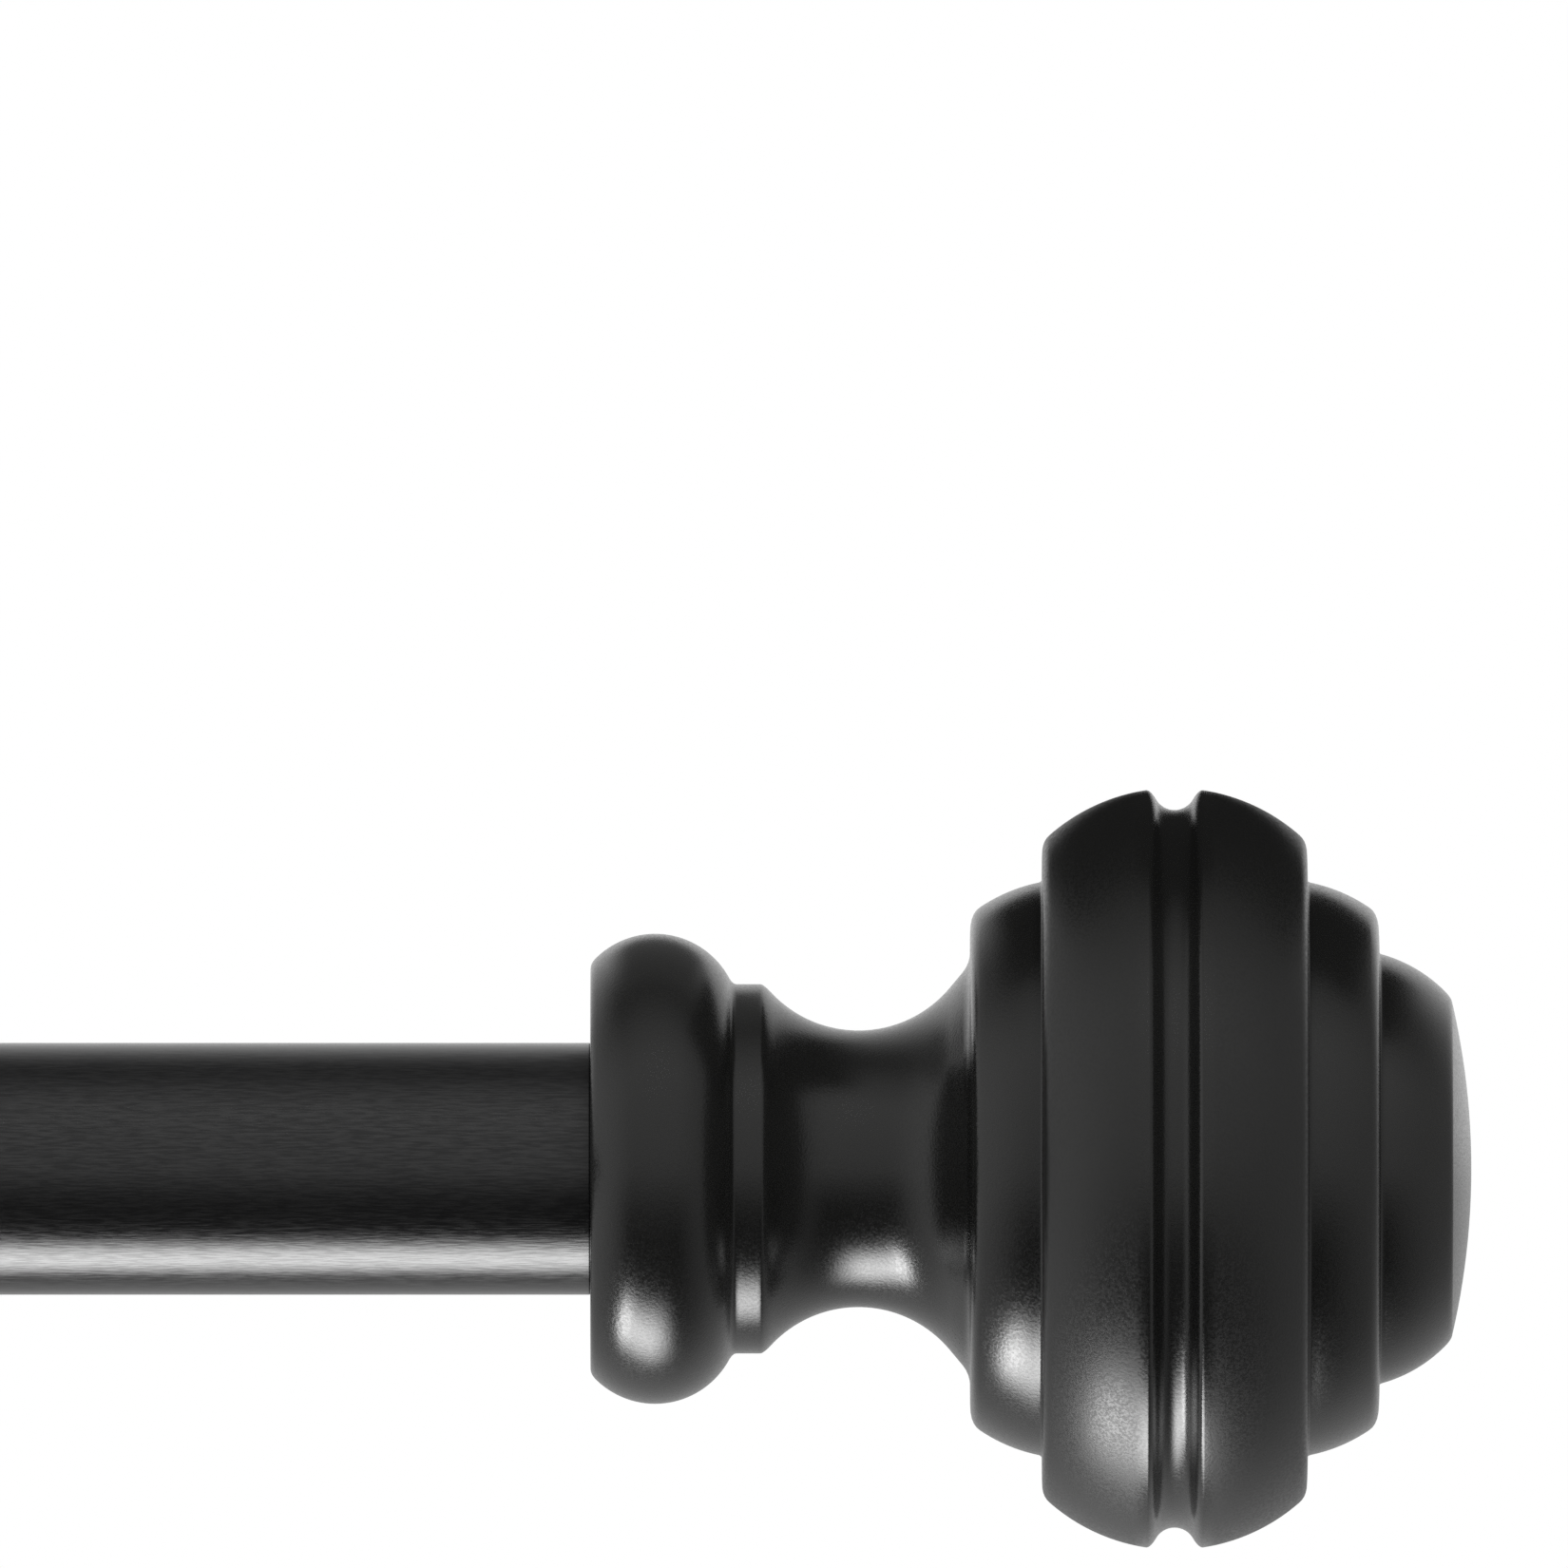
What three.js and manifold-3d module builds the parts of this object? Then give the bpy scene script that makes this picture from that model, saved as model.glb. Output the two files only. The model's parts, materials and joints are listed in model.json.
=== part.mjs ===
// Telescoping curtain rod with two turned finials and two adjustable wall brackets.
// Units are millimetres. +Z is up, +X runs along the rod to its right finial and -Y points into the room.
// The origin is the centre of the right wall plate's back face, which lies on the wall.
import * as THREE from "three";
import { mergeVertices } from "three/addons/utils/BufferGeometryUtils.js";
import Module from "manifold-3d";

const wasm = await Module();
wasm.setup();

// ---- Driving dimensions --------------------------------------------------------------------------

const INCH = 25.4;
const SEAT = 0.2; // clearance left between two faces that rest on each other
const PLAY = 0.15; // clearance left all round a pin, screw or sleeve
const TOUCH = 0.3; // clearance left between a tube or bar and what holds it
const EDGE = 0.6; // chamfer of an outer edge
const HEAD_RIM = 0.3; // upright rim of a countersunk head

const ROUND = 28; // sides of a large turned piece
const SMALL = 16; // sides of a small turned piece

const rod = {
  closedLength: 28 * INCH, // over both tube ends, pushed right in
  outerRadius: 0.5 * INCH,
  innerRadius: 0.4375 * INCH,
  wall: 0.7,
  innerShowing: 100, // inner tube in view with the rod pushed in
  innerLength: 684,
};

const bracket = {
  inset: 84, // from a tube end to the middle of its bracket
  projection: 3.5 * INCH, // from the wall to the rod's axis, arm pushed in
};

const plate = {
  width: 30,
  height: 84,
  thickness: 3,
  edge: 0.5,
  screwSpacing: 58,
  holeRadius: 2.7,
  sinkRadius: 4.6, // of the countersink, at the plate's front face
};

const socket = {
  length: 45, // from the wall to its mouth
  radius: 9.5,
  bore: 7.3,
  footRadius: 13.5, // of the flare that is welded to the plate
  footRim: 1.6, // width of the flare's low rim
  footRise: 1.4, // height of that rim
  foot: 4, // where the flare ends, from the wall
  bossRadius: 6,
  bossFace: 11.5, // from the arm's axis
  lockAt: 37, // from the wall to the lock screw's axis
};

const arm = { radius: 7, rear: 8, chamfer: 1, boreDepth: 15 };

const cradle = {
  radius: 13, // inside the U
  wall: 3,
  width: 16,
  rearTop: 12, // above the rod's axis
  frontTop: 7,
  rearBoss: 19, // from the rod's axis to the boss's face
  rearBossRadius: 8,
  frontBoss: 17.5,
  frontBossRadius: 6,
};

const thumbScrew = {
  radius: 2.5,
  knobRadius: 7,
  knobLength: 8,
  collarStep: 2.4, // how much thinner the knob is at its collar, on the stud's side
  collarLength: 1.2,
  grip: 6.5, // how deep the stud reaches into its knob
  nutAcross: 9.5,
  nutLength: 4,
  nutToKnob: 2.6, // gap between nut and knob with the screw done up
};

const cradleScrew = { radius: 2.5, headRadius: 4.6, headLength: 2.1, length: 17 };

const wallScrew = { radius: 1.75, headRadius: 3.9, headLength: 2.15, length: 35, point: 4 };

const anchor = { radius: 2.5, bore: 1.9, length: 28, point: 2 };

const plug = { length: 20, face: 2.5, nutAcross: 10, nutLength: 5 };

const finialStud = { radius: 3, inTube: 15, inFinial: 18 };

const collar = { lipRadius: 13.4, lip: 2.4, sleeve: 15, bore: 11.27 };

const glide = { flange: 3, spigot: 12, bore: 8 };

// A finial's outline is made of arcs: [centre's distance from the axis, centre's distance from the base, radius].
const finial = {
  length: 3.5 * INCH,
  bead: { arc: [15.2, 6.5, 8.5], end: 14.3, edge: 0.4 },
  band: { radius: 18.6, end: 17.5 },
  cove: { arc: [25.95, 27, 12], start: 18.05 },
  ballMiddle: 58.95,
  groove: { arc: [38.25, 58.95, 2], lip: 2.65, mouth: 37.9 },
  ring: { arc: [19.3, 58.95, 19.1], half: 13.35, edge: 0.5, shoulder: 32.2 },
  step: { centreRadius: 12.75, centreOffset: 10.4, radius: 16.45, half: 20.6, edge: 0.7, shoulder: 24.7 },
  button: { arc: [7.8, 75.95, 14.35], end: 86.8 },
  dome: { radius: 74, rim: 16.2 },
};

const rightEnd = bracket.inset;
const leftEnd = rightEnd - rod.closedLength;
const outerLeftEnd = leftEnd + rod.innerShowing;
const innerRightEnd = leftEnd + rod.innerLength;
const leftBracketAt = leftEnd + bracket.inset;
const leftRise = rod.outerRadius - rod.innerRadius; // the left bracket stands higher, so the rod is level

// ---- Finishes ------------------------------------------------------------------------------------

function finish(color, roughness, metalness) {
  return new THREE.MeshStandardMaterial({ color, roughness, metalness });
}

const powderCoat = () => finish(0x242424, 0.38, 0.1);
const satinResin = () => finish(0x222222, 0.36, 0);
const blackPlastic = () => finish(0x1b1b1b, 0.5, 0);
const zincSteel = () => finish(0xb4b6b8, 0.35, 1);
const blackScrew = () => finish(0x1e1e1f, 0.4, 0.8);
const greyNylon = () => finish(0x9c9d9b, 0.55, 0);

// ---- Tools of the trade --------------------------------------------------------------------------

const AXIS = new THREE.Vector3(0, 1, 0); // a turned piece is made about this axis, then laid along its own
const RIGHT = new THREE.Vector3(1, 0, 0);
const LEFT = new THREE.Vector3(-1, 0, 0);
const TO_ROOM = new THREE.Vector3(0, -1, 0);
const TO_WALL = new THREE.Vector3(0, 1, 0);
const DOWN = new THREE.Vector3(0, 0, -1);

function named(name, geometry, material) {
  const mesh = new THREE.Mesh(geometry, material);
  mesh.name = name;
  return mesh;
}

function laid(mesh, axis, x, y, z) {
  mesh.quaternion.setFromUnitVectors(AXIS, axis);
  mesh.position.set(x, y, z);
  return mesh;
}

// A geometry as a solid that can be joined and cut.
function solid(geometry) {
  const bare = new THREE.BufferGeometry().setAttribute("position", geometry.getAttribute("position").clone());
  if (geometry.index) bare.setIndex(geometry.index.clone());
  const merged = mergeVertices(bare, 1e-4);
  const mesh = new wasm.Mesh({
    numProp: 3,
    vertProperties: new Float32Array(merged.attributes.position.array),
    triVerts: new Uint32Array(merged.index.array),
  });
  return new wasm.Manifold(mesh);
}

function geometryOf(body) {
  const mesh = body.getMesh();
  const geometry = new THREE.BufferGeometry();
  geometry.setAttribute("position", new THREE.BufferAttribute(new Float32Array(mesh.vertProperties), 3));
  geometry.setIndex(new THREE.BufferAttribute(new Uint32Array(mesh.triVerts), 1));
  return geometry;
}

// A solid of revolution about AXIS. The corners are [radius, distance along the axis].
function turned(corners, sides = SMALL) {
  const points = corners.map(([radius, along]) => new THREE.Vector2(radius, along));
  return new THREE.LatheGeometry(points, sides);
}

// A ring about AXIS, whose section's corners run anticlockwise, outer side first.
const turnedRing = (corners, sides) => turned([...corners, corners[0]], sides);

const rodOf = (radius, from, to, sides) => turned([[0, from], [radius, from], [radius, to], [0, to]], sides);

const tubeOf = (outer, inner, from, to, sides) =>
  turnedRing([[outer, from], [outer, to], [inner, to], [inner, from]], sides);

// A geometry made about AXIS, laid along another axis through the given point.
function along(geometry, axis, x = 0, y = 0, z = 0) {
  return geometry.applyQuaternion(new THREE.Quaternion().setFromUnitVectors(AXIS, axis)).translate(x, y, z);
}

// A hexagonal prism about AXIS, from 0 to its length, with a round hole where one is asked for.
function hexPrism(across, length, hole = 0) {
  const corner = across / Math.sqrt(3);
  const shape = new THREE.Shape();
  for (let i = 0; i < 6; i++) {
    const angle = (i * Math.PI) / 3;
    shape[i ? "lineTo" : "moveTo"](corner * Math.cos(angle), corner * Math.sin(angle));
  }
  shape.closePath();
  if (hole) shape.holes.push(new THREE.Path().absarc(0, 0, hole, 0, 2 * Math.PI, true));
  const options = { depth: length, bevelEnabled: false, curveSegments: SMALL / 2 };
  return new THREE.ExtrudeGeometry(shape, options).rotateX(-Math.PI / 2);
}

// ---- Finials -------------------------------------------------------------------------------------

// How far from the axis an arc's outer side is at a station, and its inner side, which bounds a hollow.
const bulgeAt = ([centre, middle, radius], at) => centre + Math.sqrt(radius ** 2 - (at - middle) ** 2);
const hollowAt = ([centre, middle, radius], at) => centre - Math.sqrt(radius ** 2 - (at - middle) ** 2);

// Points along an arc between two stations, evenly spaced by angle.
function sweep(arc, from, to, steps, hollow = false) {
  const [, middle, radius] = arc;
  const start = Math.asin((from - middle) / radius);
  const turn = Math.asin((to - middle) / radius) - start;
  return Array.from({ length: steps + 1 }, (_, i) => {
    const at = middle + radius * Math.sin(start + (turn * i) / steps);
    return [(hollow ? hollowAt : bulgeAt)(arc, at), at];
  });
}

// The stepped ball is the same on both sides of its groove, so one side is drawn and the other is its mirror.
function ballSide(sign) {
  const { ballMiddle: middle, step, ring, groove } = finial;
  const stepArc = [step.centreRadius, middle + sign * step.centreOffset, step.radius];
  const outward = [
    ...sweep(stepArc, middle + sign * (step.half - step.edge), middle + sign * ring.half, 2),
    [ring.shoulder, middle + sign * ring.half],
    ...sweep(ring.arc, middle + sign * (ring.half - ring.edge), middle + sign * groove.lip, 4),
  ];
  return [[step.shoulder, middle + sign * step.half], ...outward];
}

function finialOutline() {
  const { bead, band, cove, ballMiddle, groove, ring, step, button, dome, length } = finial;
  const mouth = Math.sqrt(groove.arc[2] ** 2 - (groove.arc[0] - groove.mouth) ** 2);
  const base = ballMiddle - step.half;
  const rim = length - dome.radius + Math.sqrt(dome.radius ** 2 - dome.rim ** 2);
  const crown = [1, 2].map((i) => {
    const radius = dome.rim * (1 - i / 3);
    return [radius, length - dome.radius + Math.sqrt(dome.radius ** 2 - radius ** 2)];
  });
  return [
    [0, finialStud.inFinial + SEAT],
    [finialStud.radius + PLAY, finialStud.inFinial + SEAT],
    [finialStud.radius + PLAY, 0],
    [bulgeAt(bead.arc, 0) - bead.edge, 0],
    ...sweep(bead.arc, bead.edge, bead.end, 7),
    [band.radius, bead.end + bead.edge],
    [band.radius, band.end],
    ...sweep(cove.arc, cove.start, base, 7, true),
    ...ballSide(-1),
    ...sweep(groove.arc, ballMiddle - mouth, ballMiddle + mouth, 3, true),
    ...ballSide(1).reverse(),
    ...sweep(button.arc, ballMiddle + step.half, button.end, 3),
    [dome.rim, rim],
    ...crown,
    [0, length],
  ];
}

// A finial and the steel stud cast into it, standing out of a tube end at x = end, along the axis given.
function finialAt(side, end, axis) {
  const head = named(`${side}_finial`, turned(finialOutline(), ROUND), satinResin());
  const { radius, inTube, inFinial } = finialStud;
  const screw = turned([
    [0, -inTube],
    [radius - EDGE, -inTube],
    [radius, EDGE - inTube],
    [radius, inFinial],
    [0, inFinial],
  ]);
  const stud = named(`${side}_finial_stud`, screw, zincSteel());
  const group = new THREE.Group();
  group.add(laid(head, AXIS, 0, SEAT, 0), laid(stud, AXIS, 0, SEAT, 0));
  return laid(group, axis, end, -bracket.projection, 0);
}

// ---- Rod -----------------------------------------------------------------------------------------

function tubes() {
  const outer = tubeOf(rod.outerRadius, rod.outerRadius - rod.wall, outerLeftEnd, rightEnd, ROUND);
  const inner = tubeOf(rod.innerRadius, rod.innerRadius - rod.wall, leftEnd, innerRightEnd, ROUND);
  return [
    laid(named("outer_tube", outer, powderCoat()), RIGHT, 0, -bracket.projection, 0),
    laid(named("inner_tube", inner, powderCoat()), RIGHT, 0, -bracket.projection, 0),
  ];
}

// The plastic ring in the outer tube's open end, with a lip over the cut edge, in which the inner tube runs.
function tubeCollar() {
  const sleeveRadius = rod.outerRadius - rod.wall - PLAY;
  const section = [
    [collar.lipRadius - EDGE, -collar.lip],
    [collar.lipRadius, EDGE - collar.lip],
    [collar.lipRadius, -PLAY],
    [sleeveRadius, -PLAY],
    [sleeveRadius, collar.sleeve],
    [collar.bore, collar.sleeve],
    [collar.bore, -collar.lip],
  ];
  const mesh = named("outer_tube_collar", turnedRing(section, ROUND), blackPlastic());
  return laid(mesh, RIGHT, outerLeftEnd, -bracket.projection, 0);
}

// The plastic bush in the hidden end of the inner tube, whose flange slides in the outer tube.
function tubeGlide() {
  const spigotRadius = rod.innerRadius - rod.wall - PLAY;
  const flangeRadius = rod.outerRadius - rod.wall - PLAY;
  const section = [
    [spigotRadius, -glide.spigot],
    [spigotRadius, PLAY],
    [flangeRadius, PLAY],
    [flangeRadius, glide.flange],
    [glide.bore, glide.flange],
    [glide.bore, -glide.spigot],
  ];
  const mesh = named("inner_tube_glide", turnedRing(section, ROUND), blackPlastic());
  return laid(mesh, RIGHT, innerRightEnd, -bracket.projection, 0);
}

// The plug in a tube end, drawn inwards from its outer face, and the nut in the hexagonal pocket behind it.
function endPlug(side, end, axis, boreRadius) {
  const body = solid(rodOf(boreRadius - PLAY, -plug.length, -SEAT, ROUND));
  const pocketShape = hexPrism(plug.nutAcross + 2 * PLAY, plug.length);
  const pocket = solid(pocketShape.translate(0, -plug.length - plug.face, 0));
  const hole = solid(rodOf(finialStud.radius + 2 * PLAY, -plug.length, plug.length));
  const nut = hexPrism(plug.nutAcross, plug.nutLength, finialStud.radius + PLAY);
  const group = new THREE.Group();
  group.add(
    named(`${side}_tube_plug`, geometryOf(body.subtract(pocket).subtract(hole)), blackPlastic()),
    laid(named(`${side}_plug_nut`, nut, zincSteel()), AXIS, 0, -plug.face - SEAT - plug.nutLength, 0),
  );
  return laid(group, axis, end, -bracket.projection, 0);
}

// ---- Brackets ------------------------------------------------------------------------------------
// A bracket is built with its wall plate's back face at y = 0 and the rod's axis at y = -projection.

function wallPlate(side) {
  const half = plate.width / 2 - plate.edge;
  const straight = plate.height / 2 - plate.width / 2;
  const outline = new THREE.Shape();
  outline.absarc(0, straight, half, 0, Math.PI, false);
  outline.absarc(0, -straight, half, Math.PI, 2 * Math.PI, false);
  const slab = new THREE.ExtrudeGeometry(outline, {
    depth: plate.thickness - 2 * plate.edge,
    bevelThickness: plate.edge,
    bevelSize: plate.edge,
    bevelSegments: 1,
    curveSegments: SMALL / 2,
  });
  let body = solid(slab.rotateX(Math.PI / 2).translate(0, -plate.edge, 0));
  for (const sign of [-1, 1]) {
    const deep = plate.sinkRadius - plate.holeRadius;
    const hole = turned([
      [0, -1],
      [plate.holeRadius, -1],
      [plate.holeRadius, plate.thickness - deep],
      [plate.sinkRadius + 1, plate.thickness + 1],
      [0, plate.thickness + 1],
    ]);
    body = body.subtract(solid(along(hole, TO_ROOM, 0, 0, (sign * plate.screwSpacing) / 2)));
  }
  return named(`${side}_wall_plate`, geometryOf(body), powderCoat());
}

function wallFixing(side, place, z) {
  const { radius, headRadius, headLength, length, point } = wallScrew;
  const shank = turned([
    [0, 0],
    [headRadius, 0],
    [headRadius, HEAD_RIM],
    [radius, headLength],
    [radius, length - point],
    [0, length],
  ]);
  const sleeve = turnedRing([
    [anchor.radius, TOUCH],
    [anchor.radius, anchor.length - anchor.point],
    [anchor.bore + PLAY, anchor.length],
    [anchor.bore, anchor.length],
    [anchor.bore, TOUCH],
  ]);
  return [
    laid(named(`${side}_wall_screw_${place}`, shank, blackScrew()), TO_WALL, 0, SEAT - plate.thickness, z),
    laid(named(`${side}_wall_anchor_${place}`, sleeve, greyNylon()), TO_WALL, 0, 0, z),
  ];
}

// The socket is welded to the plate by its flared foot. A boss under it takes the lock screw.
function armSocket(side) {
  const start = plate.thickness + SEAT;
  const shell = turnedRing(
    [
      [socket.footRadius, start],
      [socket.footRadius - socket.footRim, start + socket.footRise],
      [socket.radius, start + socket.foot],
      [socket.radius, socket.length - EDGE],
      [socket.radius - EDGE, socket.length],
      [socket.bore, socket.length],
      [socket.bore, start],
    ],
    ROUND,
  );
  const boss = solid(along(rodOf(socket.bossRadius, 0, socket.bossFace), DOWN, 0, -socket.lockAt, 0));
  const bore = solid(along(rodOf(socket.bore, 0, socket.length + 1, ROUND), TO_ROOM));
  const drill = rodOf(thumbScrew.radius + 2 * PLAY, 0, 2 * socket.radius);
  const hole = solid(along(drill, DOWN, 0, -socket.lockAt, 0));
  const body = solid(along(shell, TO_ROOM)).add(boss.subtract(bore)).subtract(hole);
  return named(`${side}_arm_socket`, geometryOf(body), powderCoat());
}

function armBar(side) {
  const { radius, rear, chamfer, boreDepth } = arm;
  const front = bracket.projection - cradle.rearBoss - SEAT;
  const screwHole = cradleScrew.radius + PLAY;
  const bar = turned(
    [
      [0, rear],
      [radius - chamfer, rear],
      [radius, rear + chamfer],
      [radius, front],
      [screwHole, front],
      [screwHole, front - boreDepth],
      [0, front - boreDepth],
    ],
    ROUND,
  );
  return laid(named(`${side}_arm_bar`, bar, powderCoat()), TO_ROOM, 0, 0, 0);
}

// The strap of the cradle seen along the rod: a U, open at the top, taller on the wall side.
function cradleOutline() {
  const { radius, wall, rearTop, frontTop } = cradle;
  const outside = radius + wall;
  const tip = wall / 2;
  const outline = new THREE.Shape();
  outline.moveTo(outside, rearTop - tip);
  outline.absarc(radius + tip, rearTop - tip, tip, 0, Math.PI, false);
  outline.absarc(0, 0, radius, 2 * Math.PI, Math.PI, true);
  outline.absarc(-radius - tip, frontTop - tip, tip, 0, Math.PI, false);
  outline.absarc(0, 0, outside, Math.PI, 2 * Math.PI, false);
  outline.closePath();
  return outline;
}

function rodCradle(side) {
  const { width, rearBoss, rearBossRadius, frontBoss, frontBossRadius, radius, wall } = cradle;
  const options = { depth: width, bevelEnabled: false, curveSegments: SMALL / 2 };
  const strap = new THREE.ExtrudeGeometry(cradleOutline(), options);
  const acrossRod = new THREE.Matrix4().makeBasis(TO_WALL, new THREE.Vector3(0, 0, 1), RIGHT);
  const middle = radius + wall / 2;
  const rear = solid(along(rodOf(rearBossRadius, middle, rearBoss), TO_WALL));
  const front = solid(along(rodOf(frontBossRadius, middle, frontBoss), TO_ROOM));
  const headTop = radius + SEAT;
  const sink = turned([
    [0, 0],
    [cradleScrew.headRadius + PLAY, 0],
    [cradleScrew.headRadius + PLAY, headTop + PLAY],
    [cradleScrew.radius + PLAY, headTop + cradleScrew.headLength + PLAY],
    [cradleScrew.radius + PLAY, rearBoss + 1],
    [0, rearBoss + 1],
  ]);
  const tapped = rodOf(thumbScrew.radius + PLAY, 0, frontBoss + 1);
  const body = solid(strap.translate(0, 0, -width / 2).applyMatrix4(acrossRod))
    .add(rear)
    .add(front)
    .subtract(solid(along(sink, TO_WALL)))
    .subtract(solid(along(tapped, TO_ROOM)));
  const mesh = named(`${side}_cradle`, geometryOf(body), powderCoat());
  mesh.position.y = -bracket.projection;
  return mesh;
}

function cradleFixing(side) {
  const { radius, headRadius, headLength, length } = cradleScrew;
  const screw = turned([
    [0, 0],
    [headRadius, 0],
    [headRadius, HEAD_RIM],
    [radius, headLength],
    [radius, length],
    [0, length],
  ]);
  const headTop = -bracket.projection + cradle.radius + SEAT;
  return laid(named(`${side}_cradle_screw`, screw, blackScrew()), TO_WALL, 0, headTop, 0);
}

// A thumb screw: a nut on the face given, a stud from its tip outwards, and a knob on the stud's outer end.
// Tip and face are distances along the axis. The advance is how much further in the screw stands.
function thumbScrewSet(side, job, axis, tip, face, advance, x, y, z) {
  const { radius, knobRadius, knobLength, collarStep, collarLength, grip } = thumbScrew;
  const { nutAcross, nutLength, nutToKnob } = thumbScrew;
  const nutStart = face + SEAT;
  const knobStart = nutStart + nutLength + nutToKnob - advance;
  const start = tip - advance;
  const studEnd = knobStart + grip;
  const stud = turned([
    [0, start],
    [radius - EDGE, start],
    [radius, start + EDGE],
    [radius, studEnd],
    [0, studEnd],
  ]);
  const hole = radius + PLAY;
  const knob = turned([
    [0, studEnd + SEAT],
    [hole, studEnd + SEAT],
    [hole, knobStart],
    [knobRadius - collarStep, knobStart],
    [knobRadius - collarStep, knobStart + collarLength],
    [knobRadius - EDGE, knobStart + collarLength],
    [knobRadius, knobStart + collarLength + EDGE],
    [knobRadius, knobStart + knobLength - EDGE],
    [knobRadius - EDGE, knobStart + knobLength],
    [0, knobStart + knobLength],
  ]);
  const nut = hexPrism(nutAcross, nutLength, hole).translate(0, nutStart, 0);
  return [
    laid(named(`${side}_${job}_nut`, nut, powderCoat()), axis, x, y, z),
    laid(named(`${side}_${job}_stud`, stud, zincSteel()), axis, x, y, z),
    laid(named(`${side}_${job}_knob`, knob, blackPlastic()), axis, x, y, z),
  ];
}

function bracketAt(side, x, z, tubeRadius) {
  const spread = plate.screwSpacing / 2;
  const advance = rod.outerRadius - tubeRadius;
  const clampTip = cradle.radius;
  const lockTip = arm.radius + TOUCH;
  const group = new THREE.Group();
  group.add(
    wallPlate(side),
    ...wallFixing(side, "upper", spread),
    ...wallFixing(side, "lower", -spread),
    armSocket(side),
    ...thumbScrewSet(side, "lock", DOWN, lockTip, socket.bossFace, 0, 0, -socket.lockAt, 0),
    armBar(side),
    rodCradle(side),
    cradleFixing(side),
    ...thumbScrewSet(side, "clamp", TO_ROOM, clampTip, cradle.frontBoss, advance, 0, -bracket.projection, 0),
  );
  group.position.set(x, 0, z);
  return group;
}

// ---- Assembly ------------------------------------------------------------------------------------

const curtainRod = new THREE.Group();
curtainRod.add(
  bracketAt("right", 0, 0, rod.outerRadius),
  bracketAt("left", leftBracketAt, leftRise, rod.innerRadius),
  ...tubes(),
  tubeCollar(),
  tubeGlide(),
  endPlug("right", rightEnd, RIGHT, rod.outerRadius - rod.wall),
  endPlug("left", leftEnd, LEFT, rod.innerRadius - rod.wall),
  finialAt("right", rightEnd, RIGHT),
  finialAt("left", leftEnd, LEFT),
);

export default curtainRod;
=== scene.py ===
# %% [markdown]
# # Telescoping curtain rod with turned finials and two wall brackets
#
# A decorative rod is a few simple trades put together: drawn and brushed steel tube, cast resin finials
# turned to look like wood, pressed and welded brackets, and a handful of screws. This lesson dresses a
# finished mechanical model of one. The frame gives every piece's place and what it moves with, and each
# cell below gives a piece the form and finish that the real one has. All sizes are in millimetres until a
# piece is put in place, because that is how such parts are drawn.

import json
import math

import bmesh
import bpy
from mathutils import Matrix, Vector


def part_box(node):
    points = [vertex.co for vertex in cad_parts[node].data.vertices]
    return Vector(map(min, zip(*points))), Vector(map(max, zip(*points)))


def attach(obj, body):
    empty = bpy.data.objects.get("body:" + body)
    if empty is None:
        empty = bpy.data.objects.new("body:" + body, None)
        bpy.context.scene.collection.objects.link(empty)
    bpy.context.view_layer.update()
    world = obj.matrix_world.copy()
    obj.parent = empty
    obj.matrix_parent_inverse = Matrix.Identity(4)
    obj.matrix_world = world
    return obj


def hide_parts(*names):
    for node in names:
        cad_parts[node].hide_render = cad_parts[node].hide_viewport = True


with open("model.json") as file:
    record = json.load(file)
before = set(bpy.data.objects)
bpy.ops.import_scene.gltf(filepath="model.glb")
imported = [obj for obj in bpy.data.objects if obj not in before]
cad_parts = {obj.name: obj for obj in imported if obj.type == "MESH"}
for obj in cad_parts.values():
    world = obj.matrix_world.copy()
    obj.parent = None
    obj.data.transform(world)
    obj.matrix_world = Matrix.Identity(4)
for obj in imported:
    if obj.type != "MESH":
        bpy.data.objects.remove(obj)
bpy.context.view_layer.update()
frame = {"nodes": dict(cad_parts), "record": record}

MM = 0.001
SIDES = ("right", "left")

# %% [markdown]
# ## Reading places from the frame
#
# A curtain rod is built round one line, the axis of its tubes, so that line is measured first. Each piece
# that is turned on a lathe then needs only the point where its own axis starts and the way the axis points.

# %% Lines and directions
RIGHT, LEFT = Vector((1, 0, 0)), Vector((-1, 0, 0))
TO_ROOM, TO_WALL = Vector((0, -1, 0)), Vector((0, 1, 0))
UP, DOWN = Vector((0, 0, 1)), Vector((0, 0, -1))


def middle(node):
    """The middle of a CAD node's box, in millimetres."""
    low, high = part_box(node)
    return (low + high) / 2 / MM


def edge(node, direction):
    """How far a CAD node reaches along an axis direction, in millimetres."""
    low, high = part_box(node)
    return max(low.dot(direction), high.dot(direction)) / MM


def near_end(node, direction):
    """Where a CAD node starts along a direction, on the middle line of its box."""
    centre = middle(node)
    return centre - direction * (centre.dot(direction) + edge(node, -direction))


def length(node, direction):
    """How long a CAD node is along a direction."""
    return edge(node, direction) + edge(node, -direction)


rod_axis = middle("outer_tube")
finial_bases = {"right": near_end("right_finial", RIGHT), "left": near_end("left_finial", LEFT)}
BALL = 58.87  # from a finial's base to the groove round its ball
print("rod axis at y %.1f, z %.1f mm" % (rod_axis.y, rod_axis.z))
print("a finial is %.1f mm long" % length("right_finial", RIGHT))

# %% [markdown]
# ## Colours
#
# Paint charts and screens give colours as sRGB hex values. Blender's shaders work with linear light, so one
# function turns the one into the other, and every colour below goes through it.

# %% Colour helper
def linear(code):
    """An sRGB hex value, such as "1d1d1e", as linear RGBA."""
    channels = [int(code[i:i + 2], 16) / 255 for i in (0, 2, 4)]
    light = [c / 12.92 if c <= 0.04045 else ((c + 0.055) / 1.055) ** 2.4 for c in channels]
    return (*light, 1.0)


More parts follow.
